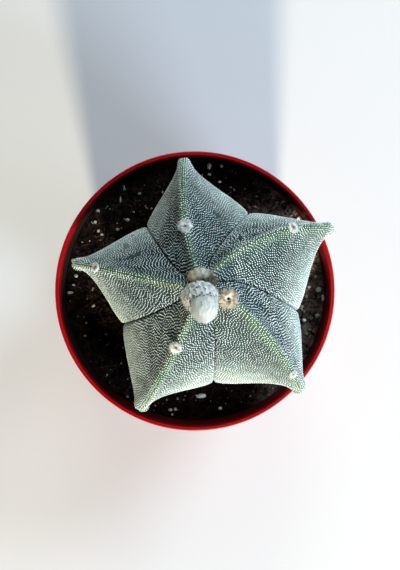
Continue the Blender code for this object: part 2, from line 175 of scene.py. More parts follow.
def show(name, mesh, material, slot, *stands_for):
    """Names a mesh, gives it its material and tells the frame what it rides on and replaces."""
    thing = linked(name, mesh)
    mesh.materials.clear()
    mesh.materials.append(material)
    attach(thing, "root")
    if stands_for:
        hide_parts(*stands_for)
    mesh.calc_loop_triangles()
    print(f"{name}: {len(mesh.loop_triangles)} triangles")


def mesh_of(bm):
    """A smooth mesh of a bmesh, with its normals pointing out."""
    bmesh.ops.recalc_face_normals(bm, faces=bm.faces)
    mesh = bpy.data.meshes.new("piece")
    bm.to_mesh(mesh)
    bm.free()
    mesh.shade_smooth()
    return mesh


def corners_of(verts):
    """Places of a mesh's vertices, as the rows of an array."""
    return np.array([vert.co[:] for vert in verts])


def modified(mesh, kind, **settings):
    """The mesh with one modifier applied."""
    thing = linked("worked", mesh)
    step = thing.modifiers.new(kind.lower(), kind)
    for key, value in settings.items():
        setattr(step, key, value)
    graph = bpy.context.evaluated_depsgraph_get()
    graph.update()
    result = bpy.data.meshes.new_from_object(thing.evaluated_get(graph), depsgraph=graph)
    bpy.data.objects.remove(thing, do_unlink=True)
    return result


# %% Crowds


def crowd(shape, places, bends=None):
    """One mesh of many copies of a shape. Each place is three scaled axes and a middle (3 by 4)."""
    corners = corners_of(shape.verts)
    mesh = modified(
        mesh_of(shape), "ARRAY", count=len(places),
        use_relative_offset=False, use_constant_offset=True, constant_offset_displace=(0, 0, 0),
    )
    spots = np.einsum("nij,vj->nvi", places[:, :, :3], corners) + places[:, None, :, 3]
    if bends is not None:
        spots += bends[:, None, :] * (corners[None, :, 2:3] ** 2)
    mesh.vertices.foreach_set("co", spots.ravel())
    mesh.update()
    return mesh


def unit(vectors):
    return vectors / np.maximum(np.linalg.norm(vectors, axis=-1, keepdims=True), 1e-12)


def round_about(turn, first, second):
    """Directions at some angles from a first direction towards a second."""
    return np.cos(turn)[:, None] * first + np.sin(turn)[:, None] * second


def bell(distance, width):
    """1 at no distance, and soon 0 beyond the width."""
    return np.exp(-((distance / width) ** 2))


def stood(middles, ways, across, sizes):
    """Places for a crowd: +Z along each way, +X as near as can be to across, scaled by sizes."""
    ways = unit(ways)
    side = unit(across - ways * (across * ways).sum(-1, keepdims=True))
    other = np.cross(ways, side)
    axes = np.stack([side * sizes[:, 0:1], other * sizes[:, 1:2], ways * sizes[:, 2:3]], axis=-1)
    return np.concatenate([axes, middles[:, :, None]], axis=-1)


def peg(segments, top, middle=0.0):
    """A bmesh one long and one in radius, narrower at its top, for crowds of small things."""
    bm = bmesh.new()
    bmesh.ops.create_cone(
        bm, cap_ends=True, segments=segments, radius1=1, radius2=top, depth=1,
        matrix=Matrix.Translation((0, 0, middle)),
    )
    return bm


def strand(steps):
    """A thin hair, one long and pointed, in as many steps as it needs to bend."""
    bm = peg(3, 0.25, 0.5)
    for step in range(1, steps):
        cut = bm.verts[:] + bm.edges[:] + bm.faces[:]
        bmesh.ops.bisect_plane(bm, geom=cut, plane_co=(0, 0, step / steps), plane_no=(0, 0, 1))
    return bm


def hairs(roots, ways, lengths, radius, curl, seed, steps=3):
    """Hairs that grow from roots along ways, each bent a little its own way. One length may do."""
    draw = np.random.default_rng(seed)
    count = len(roots)
    lengths = lengths * draw.uniform(0.6, 1.2, count)
    sizes = np.stack([np.full(count, radius), np.full(count, radius), lengths], axis=-1)
    bends = draw.normal(0, 1, (count, 3)) * (curl * lengths)[:, None]
    return crowd(strand(steps), stood(roots, ways, draw.normal(0, 1, (count, 3)), sizes), bends)


# %% [markdown]
# ## The pot
# A moulded nursery pot is one thin shell: a tapered wall, a band that stiffens the rim, and a lip
# with a rounded edge on each side of a shallow channel. A turned outline gives all of it.
# The Screw modifier turns the outline, and the drain holes are cut with a Boolean.

# %% Sizes of the pot
RIM_RADIUS = 0.045
POT_HEIGHT = 0.080
FOOT_RADIUS = 0.0315
WALL = 0.0013
BAND_HEIGHT = 0.011
BAND_STEP = 0.0011
FLOOR_TOP = 0.0026
FLOOR_BOTTOM = 0.0012
FOOT_RING = 0.0035
CORNER = 0.0012
BAND_FOOT = POT_HEIGHT - BAND_HEIGHT
DRAINS = 6
DRAIN_RADIUS = 0.0032
DRAIN_CIRCLE = 0.0175
MERGE = 0.00001


def pot_outside(height):
    return FOOT_RADIUS + (RIM_RADIUS - BAND_STEP - FOOT_RADIUS) * height / BAND_FOOT


def pot_inside(height):
    widening = BAND_STEP * max(0, height - BAND_FOOT) / BAND_HEIGHT
    return pot_outside(min(height, BAND_FOOT)) - WALL + widening


def arc(middle, radius, start, end, steps):
    """Points of a round corner, as radius and height, from one angle in degrees to another."""
    angles = np.radians(np.linspace(start, end, steps))
    return [(middle[0] + radius * math.cos(a), middle[1] + radius * math.sin(a)) for a in angles]


# %% The turned outline
LIP_EDGE = 0.00040
LIP_CHANNEL = 0.00018
lip_middle = RIM_RADIUS - WALL / 2
pot_outline = [
    (0, FLOOR_TOP),
    (pot_inside(FLOOR_TOP) - CORNER, FLOOR_TOP),
    *arc((pot_inside(FLOOR_TOP) - CORNER, FLOOR_TOP + CORNER), CORNER, -70, -10, 5),
    (pot_inside(BAND_FOOT / 2), BAND_FOOT / 2),
    (pot_inside(BAND_FOOT), BAND_FOOT),
    (pot_inside(POT_HEIGHT - 0.001), POT_HEIGHT - 0.001),
    *arc((RIM_RADIUS - WALL + LIP_EDGE, POT_HEIGHT - LIP_EDGE), LIP_EDGE, 180, 70, 6),
    (lip_middle, POT_HEIGHT - LIP_CHANNEL),
    *arc((RIM_RADIUS - LIP_EDGE, POT_HEIGHT - LIP_EDGE), LIP_EDGE, 110, 0, 6),
    (RIM_RADIUS, POT_HEIGHT - 0.0020),
    (RIM_RADIUS - 0.3 * BAND_STEP, BAND_FOOT + 0.0008),
    *arc((RIM_RADIUS - 0.6 * BAND_STEP - 0.0001, BAND_FOOT + 0.0004), 0.0004, 0, -90, 4),
    (pot_outside(BAND_FOOT) + 0.0002, BAND_FOOT),
    (pot_outside(BAND_FOOT), BAND_FOOT - 0.0003),
    (pot_outside(BAND_FOOT / 2), BAND_FOOT / 2),
    *arc((pot_outside(CORNER) - CORNER, CORNER), CORNER, 0, -90, 5),
    (FOOT_RADIUS - FOOT_RING, 0),
    (FOOT_RADIUS - FOOT_RING - CORNER / 2, FLOOR_BOTTOM),
    (0, FLOOR_BOTTOM),
]


def turned(points, steps):
    """The mesh that an outline sweeps out round the pot's axis."""
    bm = bmesh.new()
    corners = [bm.verts.new((radius, 0, height)) for radius, height in points]
    for first, second in zip(corners, corners[1:]):
        bm.edges.new((first, second))
    outline = bpy.data.meshes.new("outline")
    bm.to_mesh(outline)
    bm.clear()
    bm.from_mesh(modified(
        outline, "SCREW", steps=steps, render_steps=steps,
        use_merge_vertices=True, merge_threshold=MERGE,
    ))
    bmesh.ops.remove_doubles(bm, verts=bm.verts, dist=MERGE)
    return mesh_of(bm)


# %% Cutting the drain holes


def cutter(radius, low, high, middles, segments):
    """Upright cylinders round some middles, from one height to another."""
    bm = bmesh.new()
    for x, y in middles:
        bmesh.ops.create_cone(
            bm, cap_ends=True, segments=segments, radius1=radius, radius2=radius, depth=high - low,
            matrix=Matrix.Translation((x, y, (low + high) / 2)),
        )
    return linked("cutter", mesh_of(bm))


def cut(mesh, tool):
    """The mesh less a cutter, which is then removed."""
    mesh = modified(mesh, "BOOLEAN", operation="DIFFERENCE", object=tool, solver="EXACT")
    bpy.data.objects.remove(tool, do_unlink=True)
    mesh.shade_smooth()
    mesh.set_sharp_from_angle(angle=math.radians(35))
    return mesh


drain_turns = [math.tau * number / DRAINS for number in range(DRAINS)]
drains = [(DRAIN_CIRCLE * math.cos(turn), DRAIN_CIRCLE * math.sin(turn)) for turn in drain_turns]
pot_mesh = cut(turned(pot_outline, 160), cutter(DRAIN_RADIUS, -0.005, 0.006, drains, 32))

# %% [markdown]
# ## Red moulded plastic
# The plastic is one colour all through, so what the eye reads is gloss. Its roughness wanders, a
# faint ripple bends the highlights, and painted shade darkens and roughens the inside of the wall
# above the soil, less so to the lower right of the picture, where the light comes from.

# %% Mixing the red
RED = (0.36, 0.003, 0.005)
DEEP_RED = (0.29, 0.002, 0.004)
# Painted shade inside the wall above the soil: its colour, where it ends, where it is full, and how much
# is left on the lit lower right
PAINTED_WALL_SHADE = (0.012, 0.003, 0.003)
WALL_SHADE_ENDS = POT_HEIGHT + 0.0008
WALL_SHADE_IS_FULL = POT_HEIGHT - 0.0035
LEAST_WALL_SHADE = 0.65
red = Recipe("red_plastic", Specular_IOR_Level=0.25)
cloud = red.noise(35, 3)
fine = red.noise(900, 2)
spot = red.parts()
from_axis = (spot[0] * spot[0] + spot[1] * spot[1]) ** 0.5
inside = red.band(from_axis, RIM_RADIUS - 0.7 * WALL, RIM_RADIUS - WALL)
over_soil = red.band(spot[2], BAND_FOOT - 0.003, BAND_FOOT)
# Painted shade: the inside of the wall darkens towards the soil, least to the lower right, where the
# light comes from
painted_wall_shade = inside * over_soil * red.band(spot[2] + cloud * 0.002, WALL_SHADE_ENDS, WALL_SHADE_IS_FULL)
painted_wall_shade = painted_wall_shade * (LEAST_WALL_SHADE + red.band(spot[0] - spot[1], 0.035, -0.01) * (1 - LEAST_WALL_SHADE))
red_plastic = red.feed(
    Base_Color=red.mix(painted_wall_shade, red.mix(red.band(cloud, 0.3, 0.7), DEEP_RED, RED), PAINTED_WALL_SHADE),
    Roughness=0.26 + cloud * 0.12 + fine * 0.05 + painted_wall_shade * 0.3,
    Normal=red.bump(cloud + fine * 0.15, 0.00006),
)
show("pot_shell", pot_mesh, red_plastic, "red_plastic", "pot")

# %% [markdown]
# ## The soil
# Potting soil for cacti is dark peat with white perlite and crumbs of bark. The solid model has a
# lumpy disc with grains. Here the same surface is finer, and crumbs, fibres and grains lie on it.

# %% The peat surface
SOIL_TOP = POT_HEIGHT - 0.010
GAP = 0.0003
SOIL_BUMP = 0.0010
PLANT_X = 0.0022
PLANT_Y = 0.0017
NECK_RADIUS = 0.0175
ROOT_DEPTH = 0.017


def soil_height(x, y):
    """Height of the peat: the solid model's lumps."""
    coarse = noise.noise(Vector((x, y, 0)) * 90)
    fine = noise.noise(Vector((x, y, 0.02)) * 260)
    return SOIL_TOP + SOIL_BUMP * (0.8 * coarse + 0.5 * fine)


def crumbly(x, y):
    """Small crumbs on top of the lumps."""
    crumbs = abs(noise.noise(Vector((x, y, 0.3)) * 800))
    return 0.00035 * crumbs + 0.0002 * noise.noise(Vector((x, y, 0.7)) * 2200)


SOIL_RINGS = 56
soil_edge = pot_inside(SOIL_TOP) - GAP
soil_outline = [(soil_edge * math.sqrt(ring / SOIL_RINGS), SOIL_TOP) for ring in range(SOIL_RINGS + 1)]
soil_outline += [
    (pot_inside(FLOOR_TOP + CORNER) - GAP, FLOOR_TOP + CORNER + GAP),
    (pot_inside(FLOOR_TOP) - CORNER - GAP, FLOOR_TOP + GAP),
    (0, FLOOR_TOP + GAP),
]
soil_mesh = turned(soil_outline, 200)
for vert in soil_mesh.vertices:
    if vert.co.z > SOIL_TOP - GAP:
        vert.co.z = soil_height(vert.co.x, vert.co.y) + crumbly(vert.co.x, vert.co.y)
hole_floor = SOIL_TOP - ROOT_DEPTH - GAP
root_hole = cutter(NECK_RADIUS + 2 * GAP, hole_floor, SOIL_TOP + 0.01, [(PLANT_X, PLANT_Y)], 64)
soil_mesh = cut(soil_mesh, root_hole)

# %% Peat
PEAT = (0.0020, 0.0014, 0.0012)
BROWN_PEAT = (0.020, 0.011, 0.007)
# Colour of the peat on the plant's right, which is brown instead of black
RIGHT_PEAT = (0.28, 0.205, 0.165)
BROWN_FROM = 0.012
ALL_BROWN = 0.040


def browner_right(recipe):
    """0 on the plant's left and 1 on its right, where the peat is brown instead of black."""
    return recipe.band(recipe.parts()[0], BROWN_FROM, ALL_BROWN)


soil = Recipe("peat", Roughness=0.95, Specular_IOR_Level=0.05)
lumps = soil.noise(260, 4, 0.6)
grit = soil.noise(1500, 3, 0.7)
clods = lumps + grit * 0.5
peat_colour = soil.mix(soil.band(clods, 0.62, 1.0), PEAT, BROWN_PEAT)
peat = soil.feed(
    Base_Color=soil.mix(browner_right(soil) * soil.band(clods, 0.55, 0.95), peat_colour, RIGHT_PEAT),
    Normal=soil.bump(lumps + grit * 0.6, 0.0006),
)
show("soil_mass", soil_mesh, peat, "peat", "soil")

# %% Crumbs
draw = np.random.default_rng(11)


def soil_spots(count, low, high):
    """Random places on the open soil, between two distances from the pot's middle."""
    spots = []
    while len(spots) < count:
        radius = math.sqrt(draw.uniform(low**2, high**2))
        turn = draw.uniform(0, math.tau)
        x = radius * math.cos(turn)
        y = radius * math.sin(turn)
        if math.hypot(x - PLANT_X, y - PLANT_Y) > NECK_RADIUS + 0.002:
            spots.append((x, y, soil_height(x, y)))
    return np.array(spots)


def crumb_shape(seed):
    bm = bmesh.new()
    bmesh.ops.create_icosphere(bm, subdivisions=1, radius=1)
    for vert in bm.verts:
        vert.co *= 1 + 0.5 * noise.noise(vert.co * 1.7 + Vector((seed, 0, 0)))
    return bm


def strewn(seed, count, smallest, largest, nearest, lift=0):
    """Crumbs that lie about on the soil beyond a circle, each turned its own way."""
    sizes = draw.uniform(smallest, largest, (count, 1)) * draw.uniform(0.6, 1.3, (count, 3))
    spots = soil_spots(count, nearest, soil_edge - 0.0008)
    spots[:, 2] += lift
    ways = draw.normal(0, 1, (count, 3))
    return crowd(crumb_shape(seed), stood(spots, ways, draw.normal(0, 1, (count, 3)), sizes))


crumbs = strewn(seed=1, count=2600, smallest=0.0002, largest=0.0007, nearest=0.010)
specks = strewn(seed=2, count=160, smallest=0.00015, largest=0.0005, nearest=0.030, lift=0.0002)

# %% Mixing the crumbs
CRUMB = (0.002, 0.0015, 0.001)
BROWN_CRUMB = (0.030, 0.017, 0.011)
# Colour of the crumbs on the plant's right
RIGHT_CRUMB = (0.42, 0.30, 0.23)
crumb = Recipe("crumbs", Roughness=0.95, Specular_IOR_Level=0.07)
shade = crumb.noise(420, 2)
crumb_colour = crumb.mix(crumb.band(shade, 0.45, 0.7), CRUMB, BROWN_CRUMB)
crumb_finish = crumb.feed(
    Base_Color=crumb.mix(browner_right(crumb) * crumb.band(shade, 0.34, 0.62), crumb_colour, RIGHT_CRUMB),
    Normal=crumb.bump(crumb.noise(2500, 2), 0.0002),
)
show("soil_crumbs", crumbs, crumb_finish, "peat")
speck_finish = two_tone("pale_specks", 300, 2, (0.10, 0.08, 0.065), (0.45, 0.43, 0.38), Roughness=0.9)
show("pale_specks", specks, speck_finish, "perlite")

# %% Peat fibres
FIBRES = 420
# The few that the photo shows: place in millimetres, direction in degrees, length in millimetres
LONG_FIBRES = (
    (38.5, 4.3, 15, 5.8), (41.8, -1.7, -115, 3.6), (39.9, -4.7, -75, 6.8), (36.5, 20.5, 150, 5.0),
)
fibre_roots = soil_spots(FIBRES, 0.012, soil_edge - 0.004)
fibre_roots[:, 2] += 0.0004
turns = draw.uniform(0, math.tau, FIBRES)
fibre_lengths = draw.uniform(0.0015, 0.0045, FIBRES)
fibre_lifts = draw.uniform(-0.05, 0.15, FIBRES)
for number, (x, y, turn, length) in enumerate(LONG_FIBRES):
    fibre_roots[number] = (x / 1000, y / 1000, soil_height(x / 1000, y / 1000) + 0.0008)
    turns[number] = math.radians(turn)
    fibre_lengths[number] = length / 1000
    fibre_lifts[number] = 0.05
fibre_ways = np.stack([np.cos(turns), np.sin(turns), fibre_lifts], axis=-1)
fibres = hairs(fibre_roots, fibre_ways, fibre_lengths, 0.00007, 0.3, 12, 4)
fibre_finish = two_tone(
    "peat_fibre", 150, 2, (0.030, 0.018, 0.010), (0.14, 0.085, 0.050),
    Roughness=0.8, Specular_IOR_Level=0.2,
)
show("peat_fibres", fibres, fibre_finish, "peat")

# %% [markdown]
# ## Perlite
# Perlite is puffed volcanic glass: white, light and pitted. The larger grains lie where the
# photo shows them, written as a place and two lengths in millimetres. Each is a ball that noise
# has knocked out of round, sunk by a third in the peat. Those on the plant's left are darker.

# %% White grains
GRAINS_MM = (
    (40.7, 0.4, 2.0, 1.6), (42.0, -2.3, 1.0, 2.3), (40.2, -8.1, 1.6, 1.3), (35.9, -9.7, 1.3, 1.2),
    (37.5, 1.3, 1.3, 1.0), (39.7, 4.7, 1.0, 1.0), (4.6, 41.0, 1.3, 2.0), (4.8, 38.3, 1.0, 1.0),
    (8.7, 41.0, 1.0, 1.0), (8.1, 35.9, 1.0, 0.8), (34.0, 24.0, 1.0, 1.3), (-32.0, 26.4, 1.3, 1.0),
    (-32.8, 22.8, 1.0, 1.3), (-31.8, 19.8, 1.0, 1.0), (-30.7, 18.6, 1.0, 0.8), (-22.2, 23.4, 1.3, 1.0),
    (-25.5, 20.2, 1.3, 1.0), (-24.5, 30.0, 0.7, 2.0), (-23.4, 33.9, 0.7, 2.0), (-40.2, 10.0, 1.0, 1.3),
    (-39.2, 4.9, 1.3, 1.0), (-39.9, 1.9, 1.0, 0.7), (-41.0, -0.6, 2.0, 1.0), (1.9, -34.5, 3.3, 1.6),
    (-8.1, -39.1, 1.3, 1.0), (-6.5, -38.9, 1.0, 1.0), (-7.4, -40.7, 1.0, 0.8), (8.3, -38.6, 1.3, 1.0),
)


def perlite_grain(bm, x, y, size, seed):
    """One knocked-about ball, added to a bmesh."""
    made = bmesh.ops.create_icosphere(bm, subdivisions=3, radius=1)["verts"]
    for vert in made:
        push = 0.35 * noise.noise(vert.co * 1.6 + Vector((seed, 0, 0)))
        pits = 0.12 * noise.noise(vert.co * 5 + Vector((0, seed, 0)))
        vert.co *= 1 + push + pits
    stretch = Matrix.Diagonal((size[0] / 2, size[1] / 2, min(size) / 2, 1))
    middle = Matrix.Translation((x, y, soil_height(x, y) + min(size) / 6))
    bmesh.ops.transform(bm, matrix=middle @ stretch, verts=made)


grains = bmesh.new()
for number, (x, y, length, width) in enumerate(GRAINS_MM):
    perlite_grain(grains, x / 1000, y / 1000, (length / 1000, width / 1000), number * 3.1)
perlite = Recipe("perlite", Roughness=0.85)
pits = perlite.noise(1800, 3, 0.6)
stain = perlite.noise(500, 2)
# Grains on the plant's left are made darker
duller_left = perlite.band(perlite.parts()[0], -0.018, -0.024)
grain_colour = perlite.mix(perlite.band(stain, 0.22, 0.44), (0.40, 0.34, 0.27), (0.84, 0.82, 0.77))
perlite_finish = perlite.feed(
    Base_Color=perlite.mix(duller_left * 0.75, grain_colour, (0.17, 0.135, 0.12)),
    Normal=perlite.bump(pits, 0.00025),
)
show("perlite_grains", mesh_of(grains), perlite_finish, "perlite")

# %% [markdown]
# ## The plant's form
# The body follows ten lines from the crown to the root: five sharp crests and, between them, five
# grooves. Each line is a plain formula, and a flank is a smooth sheet from a crest to a groove.
# The same formula serves the skin and, later on, everything that grows on the skin.

# %% Lines of the body
CROWN_HEIGHT = 0.055
CROWN_DIP = 0.0035
DIP_RADIUS = 0.0050
WIDEST_HEIGHT = 0.022
NECK_HEIGHT = 0.0018
MITRE = 1.25
TOP_SHARE = 0.59
UNDER_SHARE = 0.86
# Crest and groove lines in turn: azimuth of the tip in degrees, reach in millimetres, swirl at the
# crown and bow halfway, both in degrees
CRESTS = (
    (-116.2, 43.2, 3, 1.6), (-46.8, 45.2, 27.5, -3), (23.9, 44.8, 33.2, -1),
    (98.2, 40.2, 15.2, -0.7), (170.3, 40.7, 8.4, -2.9),
)
GROOVES = (
    (-83.0, 30.1, 22, -3.2), (-14.8, 30.7, 37.5, -5.2), (57.0, 26.8, 23.1, -2.7),
    (133.0, 25.2, 25, -3.7), (206.0, 27.1, 9.8, -0.2),
)
RIBS = ("lower_left", "lower_right", "right", "top", "left")
LINES = np.array([line for pair in zip(CRESTS, GROOVES) for line in pair])
AZIMUTH = np.radians(LINES[:, 0])
REACH = LINES[:, 1] / 1000
SWIRL = np.radians(LINES[:, 2])
BOW = np.radians(LINES[:, 3])
# How hollow a flank is, before and after each crest, as a share of its width
HOLLOW_BEFORE = np.array((-0.03, 0.06, 0.07, 0.03, 0.01))
HOLLOW_AFTER = np.array((0.07, -0.03, -0.02, 0.01, 0.08))
CREST_BAND = 0.05
CREST_ROUND = 0.0005
TIP_ROUND = 0.0013
WIDE_FLANK = 0.015
GROOVE_FULL = 0.046
CREASE_DEPTH = 0.0005
CREASE_WIDTH = 0.0004
WIDEST = SOIL_TOP + WIDEST_HEIGHT
NECK = SOIL_TOP + NECK_HEIGHT


def line_points(line, along):
    """Radius, azimuth and height on numbered lines, from the crown (0) to the root's foot (1)."""
    crest = line % 2 == 0
    reach = REACH[line]
    turn = math.pi / 2 * np.clip(along / TOP_SHARE, 0, 1)
    share = np.sin(turn) ** MITRE
    rise = CROWN_HEIGHT - WIDEST_HEIGHT - np.where(crest, 0, CROWN_DIP)
    high = WIDEST + rise * np.maximum(np.cos(turn), 0) ** np.where(crest, MITRE, 1.05)
    high -= np.where(crest, CROWN_DIP * bell(share * reach, DIP_RADIUS), 0)
    azimuth = AZIMUTH[line] + (SWIRL[line] + 4 * BOW[line] * share) * (1 - share)
    turn = math.pi / 2 * np.clip((along - TOP_SHARE) / (UNDER_SHARE - TOP_SHARE), 0, 1)
    under = NECK_RADIUS + (reach - NECK_RADIUS) * np.maximum(np.cos(turn), 0) ** 1.2
    low = WIDEST - (WIDEST - NECK) * np.sin(turn)
    turn = math.pi / 2 * np.clip((along - UNDER_SHARE) / (1 - UNDER_SHARE), 0, 1)
    root = NECK_RADIUS * np.maximum(np.cos(turn), 0) ** 0.5
    deep = NECK - (NECK_HEIGHT + ROOT_DEPTH) * np.sin(turn) ** 0.8
    zones = [along <= TOP_SHARE, along <= UNDER_SHARE]
    radius = np.select(zones, [share * reach, under], root)
    return radius, azimuth, np.select(zones, [high, low], deep)


# %% Points of the skin


def on_line(line, along):
    """The same points as a place in plan and a height."""
    radius, azimuth, height = line_points(line, along)
    return np.stack([radius * np.cos(azimuth), radius * np.sin(azimuth)], axis=-1), height


def skin(along, turn):
    """Points of the body: along from crown to root, turn from 0 to 10 over the lines."""
    sector = np.floor(turn).astype(int) % 10
    part = turn - np.floor(turn)
    even = sector % 2 == 0
    following = (sector + 1) % 10
    crest = np.where(even, sector, following)
    groove = np.where(even, following, sector)
    share = (1 - np.cos(math.pi * np.where(even, part, 1 - part))) / 2
    hollow = np.where(even, HOLLOW_AFTER[sector // 2], HOLLOW_BEFORE[following // 2])
    crest_xy, crest_z = on_line(crest, along)
    groove_xy, groove_z = on_line(groove, along)
    flank = groove_xy - crest_xy
    width = np.linalg.norm(flank, axis=-1)
    out = np.stack([flank[..., 1], -flank[..., 0]], axis=-1)
    out = unit(out * np.where((out * crest_xy).sum(-1) > 0, 1, -1)[..., None])
    level = np.minimum(1, along / TOP_SHARE)
    fade = np.clip(1 - (along - TOP_SHARE) / (UNDER_SHARE - TOP_SHARE), 0, 1)
    blunt = CREST_ROUND + (TIP_ROUND - CREST_ROUND) * level**6
    size = np.minimum(1, width / WIDE_FLANK) * fade
    swell = blunt * size * (share / CREST_BAND) * np.exp(1 - share / CREST_BAND)
    swell -= hollow * width * fade * level**2 * np.sin(math.pi * share**0.6)
    swell += GROOVE_FULL * width * fade * share**2 * (1 - share**6)
    swell -= CREASE_DEPTH * size * bell((1 - share) * width, CREASE_WIDTH)
    tilt = np.where(along <= TOP_SHARE, math.pi / 4 * (1 + level), math.pi / 2 + 0.6 * (1 - fade))
    spot = crest_xy + flank * share[..., None] + out * (swell * np.sin(tilt))[..., None]
    height = crest_z + (groove_z - crest_z) * share + swell * np.cos(tilt)
    points = np.stack([PLANT_X + spot[..., 0], PLANT_Y + spot[..., 1], height], axis=-1)
    return knobbed(points)


# %% Knobs at the tips
KNOB_RADII = np.array((0.0021, 0.0020, 0.0017, 0.0013, 0.0019))


def crest_frame(rib, along):
    """A point on a rib's crest with the directions out of it and down along it."""
    steps = along + np.array((-0.01, 0, 0.01))
    radius, azimuth, height = line_points(np.full(3, 2 * rib), steps)
    plan = [PLANT_X + radius * np.cos(azimuth), PLANT_Y + radius * np.sin(azimuth)]
    spots = np.stack([*plan, height], axis=-1)
    down = unit(spots[2] - spots[0])
    side = np.array((-math.sin(azimuth[1]), math.cos(azimuth[1]), 0))
    return spots[1], unit(np.cross(down, side)), down


knob_middles = []
for rib, radius in enumerate(KNOB_RADII):
    spot, out, down = crest_frame(rib, TOP_SHARE + 0.005)
    knob_middles.append(spot - out * 0.75 * radius)


def knobbed(points):
    """Pushes the skin out round the knob that ends each rib."""
    for middle, radius in zip(knob_middles, KNOB_RADII):
        away = points - middle
        distance = np.linalg.norm(away, axis=-1)
        push = np.maximum(0, radius - distance)
        points = points + unit(away) * push[..., None]
    return points


def skin_normals(along, turn):
    """Directions straight out of the skin, from two small steps over it."""
    step = 0.004
    down = skin(np.minimum(along + step, 1), turn) - skin(np.maximum(along - step, 0), turn)
    round_it = skin(along, (turn + step) % 10) - skin(along, (turn - step) % 10)
    return unit(np.cross(down, round_it))


# %% The skin's mesh
LINE_STEPS = 20
SKIN_RINGS = 120
skin_bm = bmesh.new()
bmesh.ops.create_uvsphere(skin_bm, u_segments=10 * LINE_STEPS, v_segments=SKIN_RINGS, radius=1)
ball = corners_of(skin_bm.verts)
ball_along = np.arccos(np.clip(ball[:, 2], -1, 1)) / math.pi
ball_turn = np.arctan2(ball[:, 1], ball[:, 0]) / math.tau % 1 * 10
ball_turn = np.round(ball_turn * LINE_STEPS) / LINE_STEPS % 10
skin_points = skin(ball_along, ball_turn)
for vert, point in zip(skin_bm.verts, skin_points):
    vert.co = point
skin_mesh = mesh_of(skin_bm)


def marked(mesh, name, values):
    """Stores a value at each vertex, which a material can read."""
    layer = mesh.attributes.new(name, "FLOAT", "POINT")
    layer.data.foreach_set("value", values)


def from_crest(turn):
    """0 on a crest and 1 in a groove."""
    part = turn % 2
    return (1 - np.cos(math.pi * np.minimum(part, 2 - part))) / 2


DOWN_FROM = 0.48
DOWN_RISE = 0.42
DOWN_FALL = 0.06
DOWN_UNDER = 0.25


def crowded(along, turn):
    """How closely the down stands: more towards the plant's outline and away from the crests."""
    level = np.clip((np.minimum(along / TOP_SHARE, 1) - DOWN_FROM) / DOWN_RISE, 0, 1)
    under = np.clip(1 - (along - TOP_SHARE) / DOWN_FALL, DOWN_UNDER, 1)
    return level**2 * (3 - 2 * level) * under * np.clip(0.15 + 1.3 * from_crest(turn), 0, 1)


CREST_GREEN_WIDTH = 0.0022
# Width of the painted shade along the grooves
GROOVE_SHADE_WIDTH = 0.0005
flank_width = 0.03 * np.minimum(1, ball_along / TOP_SHARE)
marked(skin_mesh, "crest", bell(from_crest(ball_turn) * flank_width, CREST_GREEN_WIDTH))
# The groove value marks where painted shade darkens the skin
marked(skin_mesh, "groove", bell((1 - from_crest(ball_turn)) * flank_width, GROOVE_SHADE_WIDTH))
marked(skin_mesh, "down", crowded(ball_along, ball_turn))

# %% [markdown]
# ## Skin
# Between the flecks the skin is a dark blue-green that turns yellower along the crests. Painted
# shade makes it nearly black in the grooves. Towards the plant's outline a grey down covers it.
# Three values stored at the vertices tell the material where those are.

# %% Mixing the skin
SKIN_GREEN = (0.006, 0.028, 0.027)
SKIN_DARK = (0.002, 0.010, 0.010)
CREST_GREEN = (0.055, 0.110, 0.050)
DOWNY = (0.28, 0.35, 0.315)
skin_recipe = Recipe("cactus_skin", Specular_IOR_Level=0.3)
mottle = skin_recipe.noise(160, 3)
tiny = skin_recipe.noise(1400, 2)
on_crest = skin_recipe.attribute("crest")
painted_groove_shade = skin_recipe.attribute("groove")
green = skin_recipe.mix(skin_recipe.band(mottle + tiny * 0.4, 0.35, 1.0), SKIN_DARK, SKIN_GREEN)
green = skin_recipe.mix(on_crest * (0.25 + mottle * 0.7), green, CREST_GREEN)
# Painted shade: the skin turns nearly black in the grooves
green = skin_recipe.mix(painted_groove_shade * 0.9, green, SKIN_DARK)
green = skin_recipe.mix(skin_recipe.attribute("down") * (0.65 + mottle * 0.25), green, DOWNY)
cactus_skin = skin_recipe.feed(
    Base_Color=green,
    Roughness=0.62 + tiny * 0.15,
    Normal=skin_recipe.bump(tiny + mottle * 0.4, 0.00018),
)
show("cactus_skin", skin_mesh, cactus_skin, "cactus_skin", "cactus_body")

# %% [markdown]
# ## White flecks
# The flecks are tufts of down, evenly spaced like the spots of a fish: here single dots, there
# short rows. Such a pattern makes itself. Noise is filtered to one pitch, only its peaks are
# kept, and after some rounds they stand evenly. The pattern is made on a flat grid, which is then
# laid over a flank by distances measured on the skin, so its pitch is the same all over the plant.

# %% A pattern of even pitch
FLECK_PITCH = 0.00070
CELL = 0.0001
ROUNDS = 6
RING_WIDTH = 0.24
ACROSS_LOSS = 0.12
PEAKS_FROM = 0.38
GUIDE_PULL = 0.3
LONGEST = 1.45
CREST_ROWS = 0.0016


def even_pattern(rows, columns, draw):
    """Peaks one pitch apart, in rows down the grid beside its first column and loose elsewhere."""
    across = CELL * np.arange(columns)
    guide = -np.cos(math.tau * across / FLECK_PITCH) * bell(across, CREST_ROWS)
    freely = np.fft.fftfreq(rows, CELL), np.fft.rfftfreq(columns, CELL)
    down_waves, across_waves = np.meshgrid(*freely, indexing="ij")
    waves = np.hypot(down_waves, across_waves)
    crossing = (down_waves / np.maximum(waves, 1)) ** 2
    ring = bell(waves * FLECK_PITCH - 1, RING_WIDTH) * (1 - ACROSS_LOSS * crossing)
    pattern = draw.normal(0, 1, (rows, columns))
    for _ in range(ROUNDS):
        kept = np.maximum(pattern - PEAKS_FROM, 0)
        pattern = np.fft.irfft2(np.fft.rfft2(kept) * ring, (rows, columns))
        pattern = pattern / pattern.std() + GUIDE_PULL * guide
    return pattern


